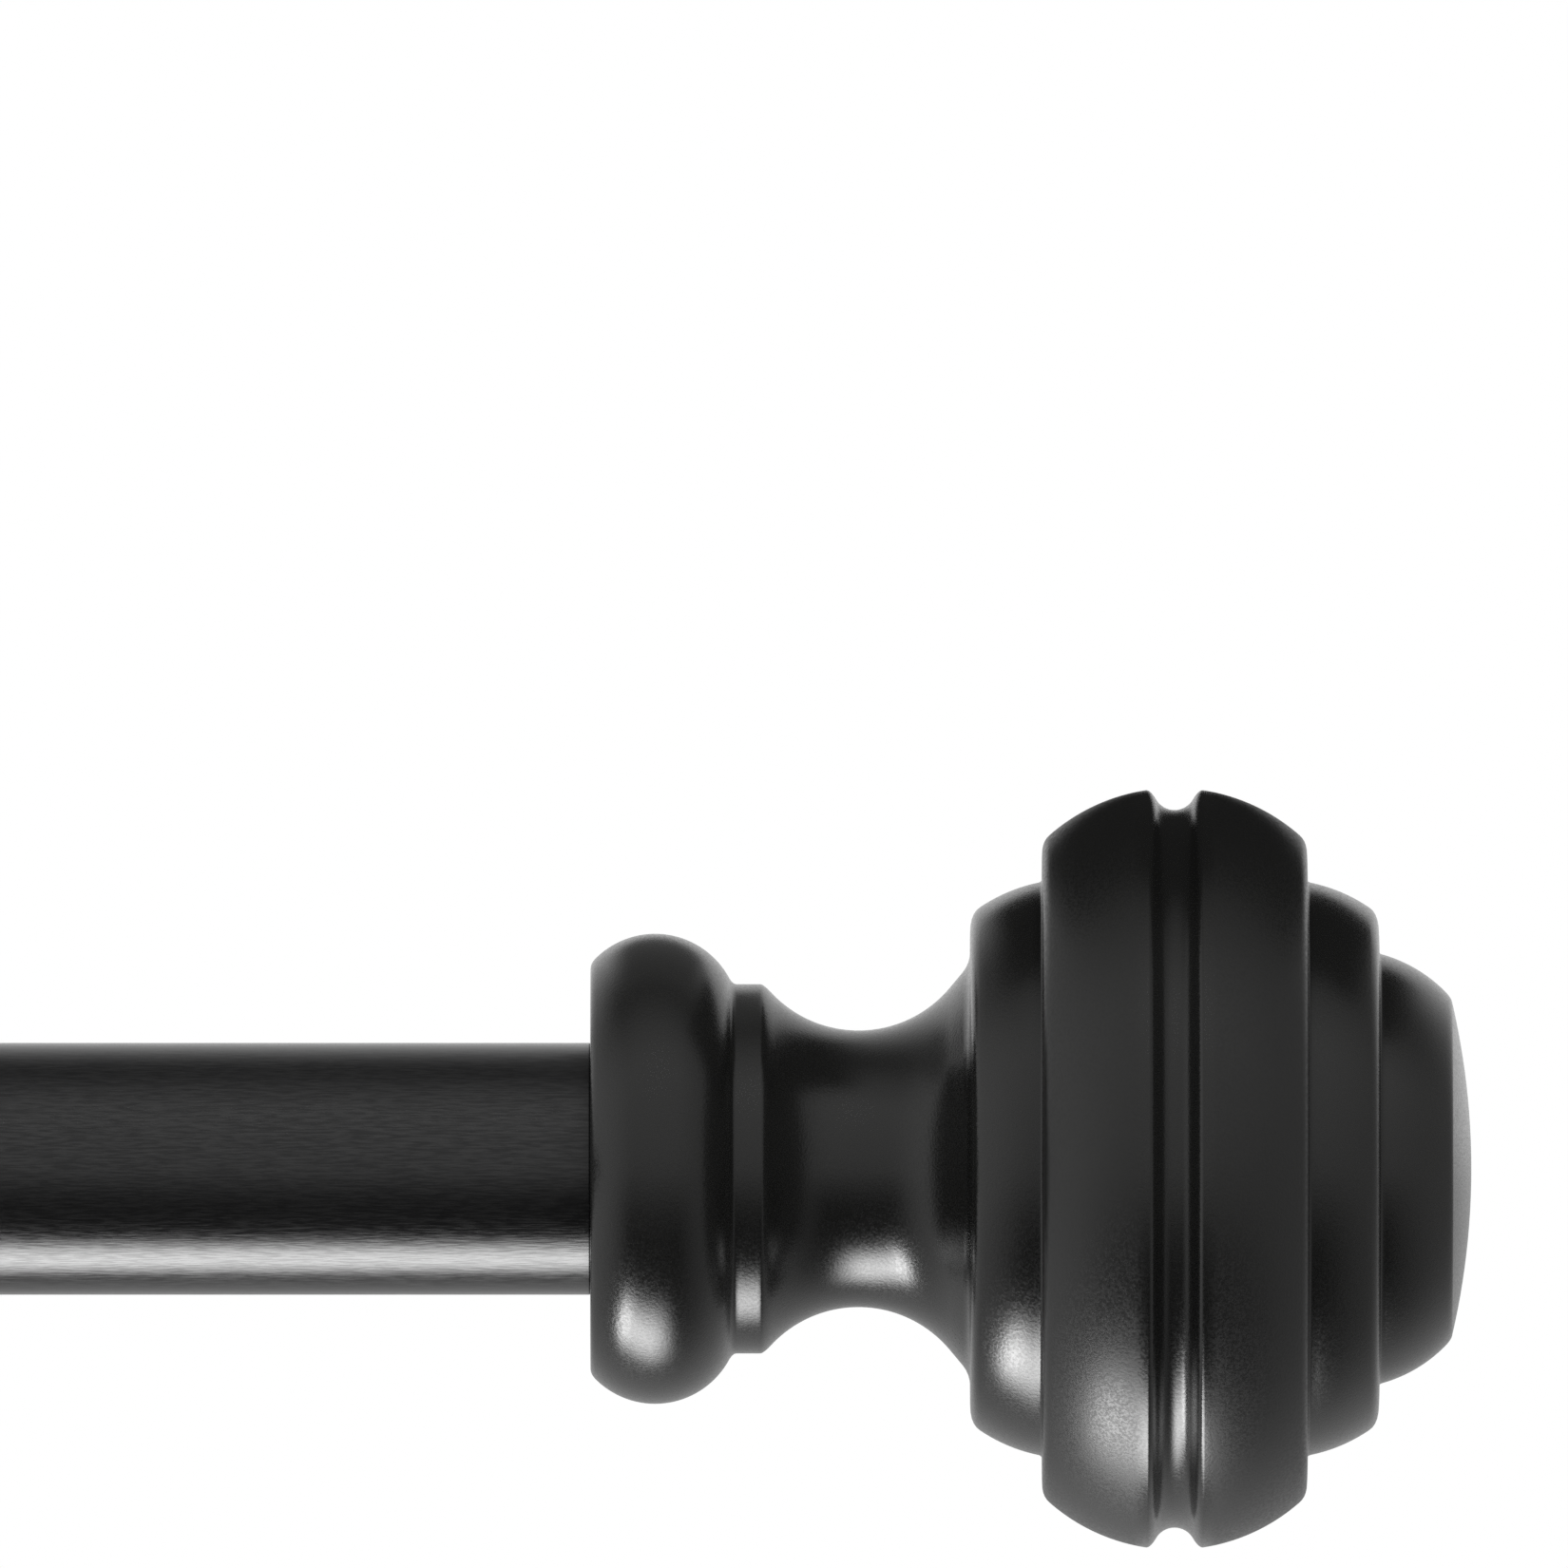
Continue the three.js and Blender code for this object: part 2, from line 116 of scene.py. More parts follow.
def socket(sockets, key):
    """A socket by number, or by name among those in use. None as the name is the first in use."""
    if isinstance(key, int):
        return sockets[key]
    return next((s for s in sockets if s.enabled and key in (None, s.name)), None)


def connect(tree, node, links):
    """Feeds a node's inputs, each from a node or from a pair of a node and its output's name."""
    for key, source in links.items():
        giver, name = source if isinstance(source, tuple) else (source, None)
        tree.links.new(socket(giver.outputs, name), socket(node.inputs, key))


def add_node(tree, kind, settings=None, links=None):
    """Adds a node. Settings name its properties or its input sockets."""
    node = tree.nodes.new(kind)
    for key, value in (settings or {}).items():
        target = socket(node.inputs, key)
        if target:
            target.default_value = value
        else:
            setattr(node, key, value)
    connect(tree, node, links or {})
    return node


def bare_tree(owner):
    """The emptied node tree of a material or a world."""
    owner.use_nodes = True
    owner.node_tree.nodes.clear()
    return owner.node_tree


def new_material(name):
    """A material with one Principled shader, and the place on a piece that its patterns follow."""
    material = bpy.data.materials.new(name)
    tree = bare_tree(material)
    shader = add_node(tree, "ShaderNodeBsdfPrincipled")
    add_node(tree, "ShaderNodeOutputMaterial", links={"Surface": shader})
    return material, tree, shader, (add_node(tree, "ShaderNodeTexCoord"), "Object")


print("black satin in linear light: %.4f" % linear("1b1b1b")[0])

# %% [markdown]
# ## Finish 1: brushed steel under satin black paint
#
# The tubes are drawn steel, brushed along their length before a thin black coat goes on. The scratches
# telegraph through the paint: they can't be seen face on, but they break a highlight into fine streaks that
# run along the rod. So the pattern is one noise stretched many times along X. It moves the roughness and
# the strength of the reflection a little, and lifts the surface by about a hundredth of a millimetre. A
# broad noise adds faint wear. The paint is an ordinary dielectric, with an IOR of about 1.6.

# %% Brushed black steel
GRAIN_WIDTH = 0.18  # mm, wider than a real brush scratch so that it shows
GRAIN_LENGTH = 2.2  # mm
GRAIN_HEIGHT = 0.012  # mm
WEAR_PATCH = 45.0  # mm
WEAR = 0.05  # how far wear moves the roughness
BRUSHED = {"roughness": (0.15, 0.23), "sheen": (0.38, 0.62)}  # from the grain's low side to its high side


def brushed_black_steel():
    material, tree, shader, place = new_material("brushed_steel_painted_black")
    stretched = add_node(
        tree, "ShaderNodeMapping",
        {"Scale": (1 / (GRAIN_LENGTH * MM), 1 / (GRAIN_WIDTH * MM), 1 / (GRAIN_WIDTH * MM))},
        {"Vector": place},
    )
    grain = add_node(
        tree, "ShaderNodeTexNoise", {"Scale": 1.0, "Detail": 3.0, "Roughness": 0.6},
        {"Vector": stretched},
    )
    wear = add_node(
        tree, "ShaderNodeTexNoise", {"Scale": 1 / (WEAR_PATCH * MM), "Detail": 2.0}, {"Vector": place},
    )
    tone = add_node(
        tree, "ShaderNodeMix", {"data_type": "RGBA", "A": linear("0e0e0f"), "B": linear("131313")},
        {"Factor": grain},
    )
    gloss, sheen = (
        add_node(
            tree, "ShaderNodeMapRange",
            {"From Min": 0.4, "From Max": 0.6, "To Min": low, "To Max": high},
            {"Value": grain},
        )
        for low, high in (BRUSHED["roughness"], BRUSHED["sheen"])
    )
    worn = add_node(tree, "ShaderNodeMath", {"operation": "MULTIPLY_ADD", 1: WEAR}, {0: wear, 2: gloss})
    relief = add_node(
        tree, "ShaderNodeBump", {"Strength": 1.0, "Distance": GRAIN_HEIGHT * MM}, {"Height": grain},
    )
    shader.inputs["IOR"].default_value = 1.6
    connect(tree, shader, {
        "Base Color": tone, "Roughness": worn, "Specular IOR Level": sheen, "Normal": relief,
    })
    return material


tube_finish = brushed_black_steel()
print("made", tube_finish.name)

# %% [markdown]
# ## Finish 2: cast polyresin, painted satin black
#
# A turned-look finial is cast in resin, tumbled, and sprayed. The spray dries as a very fine grain, and
# grain that fine only shows in a highlight, as a soft speckle. A small noise lifts the surface and varies
# the roughness, and a broad one keeps the large curves from looking like plastic film. Close to the axis
# the spray lands wet and flows out. The ball stands closest to the spray gun, where it lands dry, so both
# the roughness and its speckle grow with distance from the axis. The groove round the ball is sheltered and
# keeps its gloss. Both balls stand equally far from the middle of the rod, so folding the distance from
# that middle back on itself finds both grooves at once. The paint's IOR is 1.55.

# %% Satin resin
SPRAY_GRAIN = 0.3  # mm, drawn coarser than dry spray so that it shows
SPRAY_HEIGHT = 0.016  # mm
CASTING_WAVE = 22.0  # mm
DRY_SPRAY = {"from": 28.0, "to": 34.0}  # mm from the axis
SHELTERED = {"from": 3.0, "to": 4.2}  # mm from the middle of the ball's groove
ROUGHNESS = {"wet": 0.235, "dry": 0.385}
SPECKLE = {"wet": 0.08, "dry": 0.13}  # how far the roughness ranges


def satin_black_resin():
    material, tree, shader, place = new_material("cast_resin_painted_black")
    spray = add_node(
        tree, "ShaderNodeTexNoise",
        {"Scale": 1 / (SPRAY_GRAIN * MM), "Detail": 2.0, "Roughness": 0.55},
        {"Vector": place},
    )
    casting = add_node(
        tree, "ShaderNodeTexNoise", {"Scale": 1 / (CASTING_WAVE * MM), "Detail": 3.0}, {"Vector": place},
    )
    tone = add_node(
        tree, "ShaderNodeMix", {"data_type": "RGBA", "A": linear("0d0d0d"), "B": linear("141413")},
        {"Factor": casting},
    )
    grit = add_node(
        tree, "ShaderNodeMapRange",
        {"From Min": 0.4, "From Max": 0.6, "To Min": -0.5, "To Max": 0.5},
        {"Value": spray},
    )
    on_axis = add_node(tree, "ShaderNodeVectorMath", {"operation": "MULTIPLY", 1: (0, 1, 1)}, {0: place})
    reach = add_node(
        tree, "ShaderNodeVectorMath",
        {"operation": "DISTANCE", 1: (0, rod_axis.y * MM, rod_axis.z * MM)},
        {0: on_axis},
    )
    far_out = add_node(
        tree, "ShaderNodeMapRange",
        {"From Min": DRY_SPRAY["from"] * MM, "From Max": DRY_SPRAY["to"] * MM},
        {"Value": (reach, "Value")},
    )
    halfway = (finial_bases["right"].x + finial_bases["left"].x) / 2
    to_groove = finial_bases["right"].x + BALL - halfway
    along = add_node(tree, "ShaderNodeSeparateXYZ", links={"Vector": place})
    from_halfway = add_node(
        tree, "ShaderNodeMath", {"operation": "SUBTRACT", 1: halfway * MM}, {0: (along, "X")},
    )
    folded = add_node(
        tree, "ShaderNodeMath", {"operation": "PINGPONG", 1: to_groove * MM}, {0: from_halfway},
    )
    sheltered, bare = (to_groove - SHELTERED[key] for key in ("from", "to"))
    open_to_spray = add_node(
        tree, "ShaderNodeMapRange", {"From Min": sheltered * MM, "From Max": bare * MM}, {"Value": folded},
    )
    dry = add_node(tree, "ShaderNodeMath", {"operation": "MULTIPLY"}, {0: far_out, 1: open_to_spray})
    gloss, speckle = (
        add_node(tree, "ShaderNodeMapRange", {"To Min": span["wet"], "To Max": span["dry"]}, {"Value": dry})
        for span in (ROUGHNESS, SPECKLE)
    )
    rough = add_node(
        tree, "ShaderNodeMath", {"operation": "MULTIPLY_ADD"}, {0: grit, 1: speckle, 2: gloss},
    )
    relief = add_node(
        tree, "ShaderNodeBump", {"Strength": 1.0, "Distance": SPRAY_HEIGHT * MM}, {"Height": spray},
    )
    shader.inputs["IOR"].default_value = 1.55
    connect(tree, shader, {"Base Color": tone, "Roughness": rough, "Normal": relief})
    return material


finial_finish = satin_black_resin()
print("made", finial_finish.name)

# %% [markdown]
# ## Finish 3: powder coat
#
# Brackets are powder coated. The powder melts into a skin with a slight orange peel, a wave about a
# millimetre across, under a much finer matt grain.

# %% Powder coat
ORANGE_PEEL = {"width": 1.1, "height": 0.03}  # mm
POWDER_GRIT = {"width": 0.2, "height": 0.01}  # mm


def black_powder_coat():
    material, tree, shader, place = new_material("black_powder_coat")
    peel, grit = (
        add_node(
            tree, "ShaderNodeTexNoise", {"Scale": 1 / (wave["width"] * MM), "Detail": detail},
            {"Vector": place},
        )
        for wave, detail in ((ORANGE_PEEL, 1.0), (POWDER_GRIT, 2.0))
    )
    tone = add_node(
        tree, "ShaderNodeMix", {"data_type": "RGBA", "A": linear("131313"), "B": linear("1d1d1d")},
        {"Factor": grit},
    )
    gloss = add_node(tree, "ShaderNodeMapRange", {"To Min": 0.3, "To Max": 0.44}, {"Value": grit})
    fine = add_node(
        tree, "ShaderNodeBump", {"Strength": 0.3, "Distance": POWDER_GRIT["height"] * MM},
        {"Height": grit},
    )
    wave = add_node(
        tree, "ShaderNodeBump", {"Strength": 0.5, "Distance": ORANGE_PEEL["height"] * MM},
        {"Height": peel, "Normal": fine},
    )
    connect(tree, shader, {"Base Color": tone, "Roughness": gloss, "Normal": wave})
    return material


bracket_finish = black_powder_coat()
print("made", bracket_finish.name)

# %% [markdown]
# ## Finish 4: moulded plastics
#
# Knobs, plugs, collar and glide are moulded in black nylon from a spark-eroded tool, which leaves an even
# matt texture. Wall anchors are the same nylon in grey. Both come from one function, because only the
# colours differ.

# %% Moulded nylon
SPARK_PIT = {"width": 0.25, "depth": 0.015}  # mm
FLOW_MARK = 6.0  # mm


def moulded_nylon(name, dark, pale):
    material, tree, shader, place = new_material(name)
    spark = add_node(
        tree, "ShaderNodeTexVoronoi", {"Scale": 1 / (SPARK_PIT["width"] * MM)}, {"Vector": place},
    )
    flow = add_node(
        tree, "ShaderNodeTexNoise", {"Scale": 1 / (FLOW_MARK * MM), "Detail": 3.0}, {"Vector": place},
    )
    tone = add_node(
        tree, "ShaderNodeMix", {"data_type": "RGBA", "A": linear(dark), "B": linear(pale)},
        {"Factor": flow},
    )
    gloss = add_node(tree, "ShaderNodeMapRange", {"To Min": 0.42, "To Max": 0.56}, {"Value": spark})
    relief = add_node(
        tree, "ShaderNodeBump", {"Strength": 0.35, "Distance": SPARK_PIT["depth"] * MM},
        {"Height": spark},
    )
    connect(tree, shader, {"Base Color": tone, "Roughness": gloss, "Normal": relief})
    return material


black_nylon = moulded_nylon("moulded_nylon_black", "101011", "18181a")
grey_nylon = moulded_nylon("moulded_nylon_grey", "8f908d", "a5a6a2")
print("made", black_nylon.name, "and", grey_nylon.name)

# %% [markdown]
# ## Finish 5: plated fasteners
#
# Nuts and studs are bright zinc plate over steel, a metal with faint cloudy patches. Wood screws and
# machine screws are black oxide: still steel, but with a dark conversion layer that is a little rougher and
# slightly blue.

# %% Plated steel
PLATING_CLOUD = {"width": 2.5, "height": 0.01}  # mm


def plated_steel(name, dark, pale, smooth, rough):
    material, tree, shader, place = new_material(name)
    shader.inputs["Metallic"].default_value = 1.0
    cloud = add_node(
        tree, "ShaderNodeTexNoise", {"Scale": 1 / (PLATING_CLOUD["width"] * MM), "Detail": 4.0},
        {"Vector": place},
    )
    tone = add_node(
        tree, "ShaderNodeMix", {"data_type": "RGBA", "A": linear(dark), "B": linear(pale)},
        {"Factor": cloud},
    )
    gloss = add_node(tree, "ShaderNodeMapRange", {"To Min": smooth, "To Max": rough}, {"Value": cloud})
    relief = add_node(
        tree, "ShaderNodeBump", {"Strength": 0.2, "Distance": PLATING_CLOUD["height"] * MM},
        {"Height": cloud},
    )
    connect(tree, shader, {"Base Color": tone, "Roughness": gloss, "Normal": relief})
    return material


zinc_plate = plated_steel("zinc_plated_steel", "b3b5b8", "d2d3d0", 0.22, 0.4)
black_oxide = plated_steel("black_oxide_steel", "2a2a2c", "3a3a3d", 0.34, 0.5)
print("made", zinc_plate.name, "and", black_oxide.name)

# %% [markdown]
# ## A workshop of small tools
#
# Every piece is shaped in millimetres round its own Z axis with its near end at 0, as it would be on a
# lathe or a bench, and then laid along the line that it has in the frame. A few helpers do that for all of
# them: one spins an outline, some draw arcs and ease corners, one cuts or joins shapes, one breaks sharp
# edges, and one lays a shape in place. Real edges are never quite sharp, and the thin line of light along a
# broken edge is what makes a small part look made.

# %% Turning an outline
SAME_PLACE = 1e-4  # mm, how close two points are one


def turned(points, steps=96, closed=False):
    """Spins an outline of (along, radius) points about Z. An open one starts and ends on the axis."""
    bm = bmesh.new()
    verts = [bm.verts.new((radius, 0, along)) for along, radius in points]
    pairs = list(zip(verts, verts[1:] + verts[:1]))
    edges = [bm.edges.new(pair) for pair in (pairs if closed else pairs[:-1])]
    bmesh.ops.spin(
        bm, geom=verts + edges, cent=(0, 0, 0), axis=(0, 0, 1), dvec=(0, 0, 0),
        angle=math.tau, steps=steps, use_merge=True, use_duplicate=False,
    )
    bmesh.ops.remove_doubles(bm, verts=bm.verts, dist=SAME_PLACE)
    bmesh.ops.recalc_face_normals(bm, faces=bm.faces)
    return bm


print("a full turn of a 3-point outline has", len(turned([(0, 0), (0, 1), (1, 0)], 8).faces), "faces")

# %% [markdown]
# An outline is a run of points, each so far along the axis and so far from it. Arcs make its round parts,
# and where two runs meet, or two straight sides, a short curve eases the corner.

# %% Drawing an outline
def arc(centre_along, centre_radius, radius, start, end, steps, hollow=False):
    """Points of an arc between two stations on the axis, on its outer side, or its inner if hollow."""
    first = math.asin((start - centre_along) / radius)
    last = math.asin((end - centre_along) / radius)
    rise = -radius if hollow else radius
    angles = [first + (last - first) * i / steps for i in range(steps + 1)]
    return [(centre_along + radius * math.sin(a), centre_radius + rise * math.cos(a)) for a in angles]


def bend(start, corner, end, steps):
    """The points between start and end of a quadratic curve that a corner pulls on."""
    shares = [i / steps for i in range(1, steps)]
    curve = [(1 - t) ** 2 * start + 2 * t * (1 - t) * corner + t ** 2 * end for t in shares]
    return [tuple(point) for point in curve]


def eased(points, following, steps=4):
    """Joins two runs of an outline by a curve that leaves the one and meets the other as they point."""
    start, end = Vector(points[-1]), Vector(following[0])
    onward, back = start - Vector(points[-2]), end - Vector(following[1])
    corner = start + onward * ((end - start).cross(back) / onward.cross(back))
    return points + bend(start, corner, end, steps) + following


def rounded(corners, radius, steps=3):
    """An outline through corners, each inner one rounded off by about the radius."""
    points = [corners[0]]
    for before, corner, after in zip(corners, corners[1:], corners[2:]):
        here = Vector(corner)
        ways = [Vector(other) - here for other in (before, after)]
        near, far = [here + way.normalized() * min(radius, way.length / 2) for way in ways]
        points += [tuple(near), *bend(near, here, far, steps), tuple(far)]
    return points + [corners[-1]]


def ring_outline(corners, radius, steps=3):
    """As rounded, for an outline that closes on itself."""
    return rounded([corners[-1], *corners, corners[0]], radius, steps)[1:-1]


print("a corner, once rounded, has", len(rounded([(0, 1), (1, 1), (1, 0)], 0.2)) - 2, "points")

# %% [markdown]
# A boolean is the honest way to drill a hole that meets a curved wall. The Boolean modifier does it
# exactly, so the helper dresses the shape with one modifier for each tool, takes the result, and clears the
# bench.

# %% Cutting and joining
def on_bench(bm, name):
    """Puts a shape on the bench as an object, for a modifier to work on."""
    mesh = bpy.data.meshes.new(name)
    bm.to_mesh(mesh)
    bm.free()
    obj = bpy.data.objects.new(name, mesh)
    bpy.context.scene.collection.objects.link(obj)
    return obj


def worked(bm, tools, operation="DIFFERENCE"):
    """The shape with the tools cut from it, joined to it, or kept only where they cross it."""
    body = on_bench(bm, "bench_body")
    others = [on_bench(tool, "bench_tool") for tool in tools]
    for other in others:
        modifier = body.modifiers.new("work", "BOOLEAN")
        modifier.object = other
        modifier.operation = operation
        modifier.solver = "EXACT"
    ready = body.evaluated_get(bpy.context.evaluated_depsgraph_get())
    result = bmesh.new()
    result.from_mesh(ready.to_mesh())
    ready.to_mesh_clear()
    for obj in [body, *others]:
        bpy.data.meshes.remove(obj.data)
    bmesh.ops.remove_doubles(result, verts=result.verts, dist=SAME_PLACE)
    return result


def prism(sides, radius, start, end, turn=0.0):
    """A straight prism or pin about Z, as a cutting tool or as bar stock."""
    bm = bmesh.new()
    bmesh.ops.create_cone(
        bm, cap_ends=True, segments=sides, radius1=radius, radius2=radius, depth=end - start,
        matrix=Matrix.Translation((0, 0, (start + end) / 2)) @ Matrix.Rotation(turn, 4, "Z"),
    )
    return bm


print("bench ready")

# %% [markdown]
# Edges are easiest to break while a shape still stands round its own axis, and only then is it laid in its
# place. The bevel works on edges that turn sharply, so that a curve's many small steps are left alone.

# %% Softening edges and laying in place
def soften(bm, offset, angle=35, segments=2, keep=lambda _: True):
    """Bevels the edges that are sharper than an angle in degrees, or only some of those."""
    least = math.radians(angle)
    sharp = [e for e in bm.edges if e.is_manifold and e.calc_face_angle() > least and keep(e)]
    bmesh.ops.bevel(
        bm, geom=sharp, offset=offset, offset_type="OFFSET", segments=segments, profile=0.5,
        affect="EDGES", clamp_overlap=True, material=-1,
    )
    return bm


def turn_to(direction):
    """The rotation that takes a shape's own Z axis to a direction."""
    return Vector((0, 0, 1)).rotation_difference(direction).to_matrix().to_4x4()


def lay(bm, direction, at):
    """Turns a shape's own Z axis to a direction, and moves its origin to a point."""
    bmesh.ops.transform(bm, matrix=Matrix.Translation(at) @ turn_to(direction), verts=bm.verts)
    return bm


print("Z turned to the room:", tuple(round(n) for n in turn_to(TO_ROOM) @ Vector((0, 0, 1))))

# %% [markdown]
# The frame knows which body carries each node, so a finished piece takes its body from the node that it
# stands for.

# %% Handing a piece over
body_of = {node: body for body, nodes in frame["record"]["behaviour"]["bodies"].items() for node in nodes}


def finished(node, bm, material, sharp=40):
    """Makes a shape, already in place in millimetres, the piece that stands for a CAD node."""
    bmesh.ops.scale(bm, vec=(MM, MM, MM), verts=bm.verts)
    open_edges = sum(not e.is_manifold for e in bm.edges)
    piece = on_bench(bm, node + "_piece")
    mesh = piece.data
    mesh.shade_smooth()
    mesh.set_sharp_from_angle(angle=math.radians(sharp))
    mesh.materials.append(material)
    shading = piece.modifiers.new("flat_faces_stay_flat", "WEIGHTED_NORMAL")
    shading.keep_sharp = True
    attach(piece, body_of[node])
    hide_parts(node)
    print("%-28s %6d faces, %d open edges" % (piece.name, len(mesh.polygons), open_edges))
    return piece


def turned_piece(node, direction, bm, material, sharp=40):
    """As finished, for a shape about its own Z axis that starts at 0."""
    return finished(node, lay(bm, direction, near_end(node, direction)), material, sharp)


# %% [markdown]
# ## The tubes
#
# Both tubes are rolled from strip and welded along one line, which the maker turns to the wall. An outline
# of the wall's section, with its cut edges lightly broken, is spun once round. Then the two columns of
# points beside the weld are drawn together and the weld's own column is sunk a little, so the seam is real
# and has only a few faces.

# %% Outer and inner tube
TUBE_WALL = 0.7
CUT_EDGE = 0.15
BUTTED = 0.17  # each tube runs on up to its finial, and leaves only a hair between them
TUBE_STEPS = 144
SEAM_DEPTH = 0.12
SEAM_HALF_ANGLE = math.radians(0.9)


def press_seam(bm, outer):
    """Sinks one column of a tube's outer skin, on its -Y side, and draws its two neighbours in to it."""
    column = math.tau / TUBE_STEPS
    for side in (-1, 0, 1):
        chosen = [
            v for v in bm.verts
            if v.co.xy.length > outer - CUT_EDGE and v.co.y < 0
            and abs(math.atan2(v.co.x, -v.co.y) - side * column) < column / 4
        ]
        turn = Matrix.Rotation(side * (SEAM_HALF_ANGLE - column), 3, "Z")
        bmesh.ops.rotate(bm, cent=(0, 0, 0), matrix=turn, verts=chosen)
        if side == 0:
            bmesh.ops.translate(bm, vec=(0, SEAM_DEPTH, 0), verts=chosen)
    return bm


def seamed_tube(node, to_finial):
    outer, span = edge(node, UP) - rod_axis.z, length(node, to_finial) + BUTTED
    inner = outer - TUBE_WALL
    wall = ring_outline([(0, outer), (span, outer), (span, inner), (0, inner)], CUT_EDGE)
    bm = press_seam(turned(wall, TUBE_STEPS, closed=True), outer)
    bmesh.ops.rotate(bm, cent=(0, 0, 0), matrix=Matrix.Rotation(math.pi, 3, "Z"), verts=bm.verts)
    return turned_piece(node, to_finial, bm, tube_finish)


seamed_tube("outer_tube", RIGHT)
seamed_tube("inner_tube", LEFT)

# %% [markdown]
# ## Collar and glide
#
# Without a collar the inner tube would be scratched by the outer tube's cut edge. The collar is a moulded
# ring with a lip, pushed into the open end. The glide is its partner on the hidden end of the inner tube, a
# spool whose flange runs in the outer tube, with snap ribs that bite into the tube it sits in.

# %% Collar and glide bush
COLLAR = {"lip_radius": 13.4, "lip": 2.25, "sleeve_radius": 11.85, "bore": 11.27}
GLIDE = {
    "spigot_radius": 10.25, "bore": 8.0, "flange": 2.85,
    "ribs": 3, "first_rib": 2.2, "rib_pitch": 3.2, "rib": 0.4,
}


def ribbing(count, first, pitch, low, top, ramp, run):
    """The outline of a row of barbs, each with a short ramp up and a longer run down."""
    starts = [first + pitch * i for i in range(count)]
    return [point for at in starts for point in ((at, low), (at + ramp, top), (at + run, low))]


def tube_collar(node="outer_tube_collar"):
    end = length(node, RIGHT)
    corners = [
        (0, COLLAR["bore"]), (0, COLLAR["lip_radius"]), (COLLAR["lip"], COLLAR["lip_radius"]),
        (COLLAR["lip"], COLLAR["sleeve_radius"]), (end, COLLAR["sleeve_radius"]), (end, COLLAR["bore"]),
    ]
    return turned_piece(node, RIGHT, turned(ring_outline(corners, 0.5, 5), 128, True), black_nylon)


def glide_bush(node="inner_tube_glide"):
    end, flange_radius = length(node, RIGHT), edge(node, UP) - rod_axis.z
    start, top = end - GLIDE["flange"], GLIDE["spigot_radius"]
    low = top - GLIDE["rib"]
    ribs = ribbing(GLIDE["ribs"], GLIDE["first_rib"], GLIDE["rib_pitch"], low, top, 0.5, 1.6)
    corners = [
        (0, low - 0.3), *ribs, (start, low), (start, flange_radius), (end, flange_radius),
        (end, GLIDE["bore"]), (0, GLIDE["bore"]),
    ]
    return turned_piece(node, RIGHT, turned(ring_outline(corners, 0.2, 3), 96, True), black_nylon)


tube_collar()
glide_bush()

# %% [markdown]
# ## The finials
#
# The finial gives the rod its character, so its outline is drawn with the turner's own words. A fat *bead*
# sits on the tube's end, a narrow flat *band* follows, then a hollow *cove* sweeps down and out to a
# *stepped ball*: a small step, a large ring with a groove round its equator, another step, and a domed
# *button*. Every stretch is an arc with a centre and a radius. Where two stretches meet, the corner is
# eased by a short curve, because a mould can't hold a knife edge. The whole outline is spun in one go, with
# enough steps that its rim stays round close up.

# %% The finial's outline
FINIAL_STEPS = 192
STUD_HOLE = {"radius": 3.15, "depth": 18.2}


def ball_side(sign):
    """One side of the stepped ball, from the foot of its small step to the lip of its groove."""
    step = arc(BALL + sign * 10.4, 12.75, 16.45, BALL + sign * 19.6, BALL + sign * 13.7, 10)
    step = eased([(BALL + sign * 20.6, 22.0), (BALL + sign * 20.6, 23.9)], step, 5)
    step = eased(step, [(BALL + sign * 13.35, 29.3), (BALL + sign * 13.35, 31.8)], 3)
    ring = arc(BALL, 19.3, 19.1, BALL + sign * 12.6, BALL + sign * 2.9, 24)
    return eased(step, ring, 5)


def finial_outline(tip):
    bead = eased([(0, STUD_HOLE["radius"]), (0, 20.2)], arc(6.5, 15.2, 8.5, 0.7, 14.0, 32), 5)
    band = eased(bead, [(14.7, 18.62), (15.0, 18.62), (16.8, 18.62), (17.1, 18.62)], 3)
    cove = arc(27.0, 25.95, 12.0, 18.15, BALL - 22.67, 40, hollow=True)
    cove = eased(band, cove + [(BALL - 21.37, 19.8)], 5)
    near = eased(cove, ball_side(-1), 4)
    groove = arc(BALL, 38.33, 2.15, BALL - 1.9, BALL + 1.9, 16, hollow=True)
    ball = eased(eased(near, groove, 8), ball_side(1)[::-1], 8)
    button = eased(ball, arc(75.95, 7.8, 14.35, BALL + 20.9, 85.9, 22), 3)
    dome = arc(tip - 74.0, 0, 74.0, tip - 1.95, tip - 1e-4, 12)
    return eased(button, dome[:-1], 6) + [(tip, 0)]


def finial(side, direction):
    node = f"{side}_finial"
    blind = [(STUD_HOLE["depth"], 0), (STUD_HOLE["depth"], STUD_HOLE["radius"])]
    bm = turned(blind + finial_outline(length(node, direction) - 0.1), FINIAL_STEPS)
    return turned_piece(node, direction, bm, finial_finish, sharp=60)


finial("right", RIGHT)
finial("left", LEFT)

# %% [markdown]
# ## Screw threads
#
# A thread is a ridge that climbs by one pitch in a turn. Spin can climb too, because its dvec moves every
# step along the axis. So a small triangle is swept round a plain core, with its base sunk in it. Each ridge
# is a closed shell of its own, which needs no boolean and stays light, and its pitch is the distance that
# the screw really advances.

# %% Thread, core and recess
THREAD_STEPS = 24  # to a turn
THREAD_DEPTH = 0.61  # of the pitch, as on any metric screw


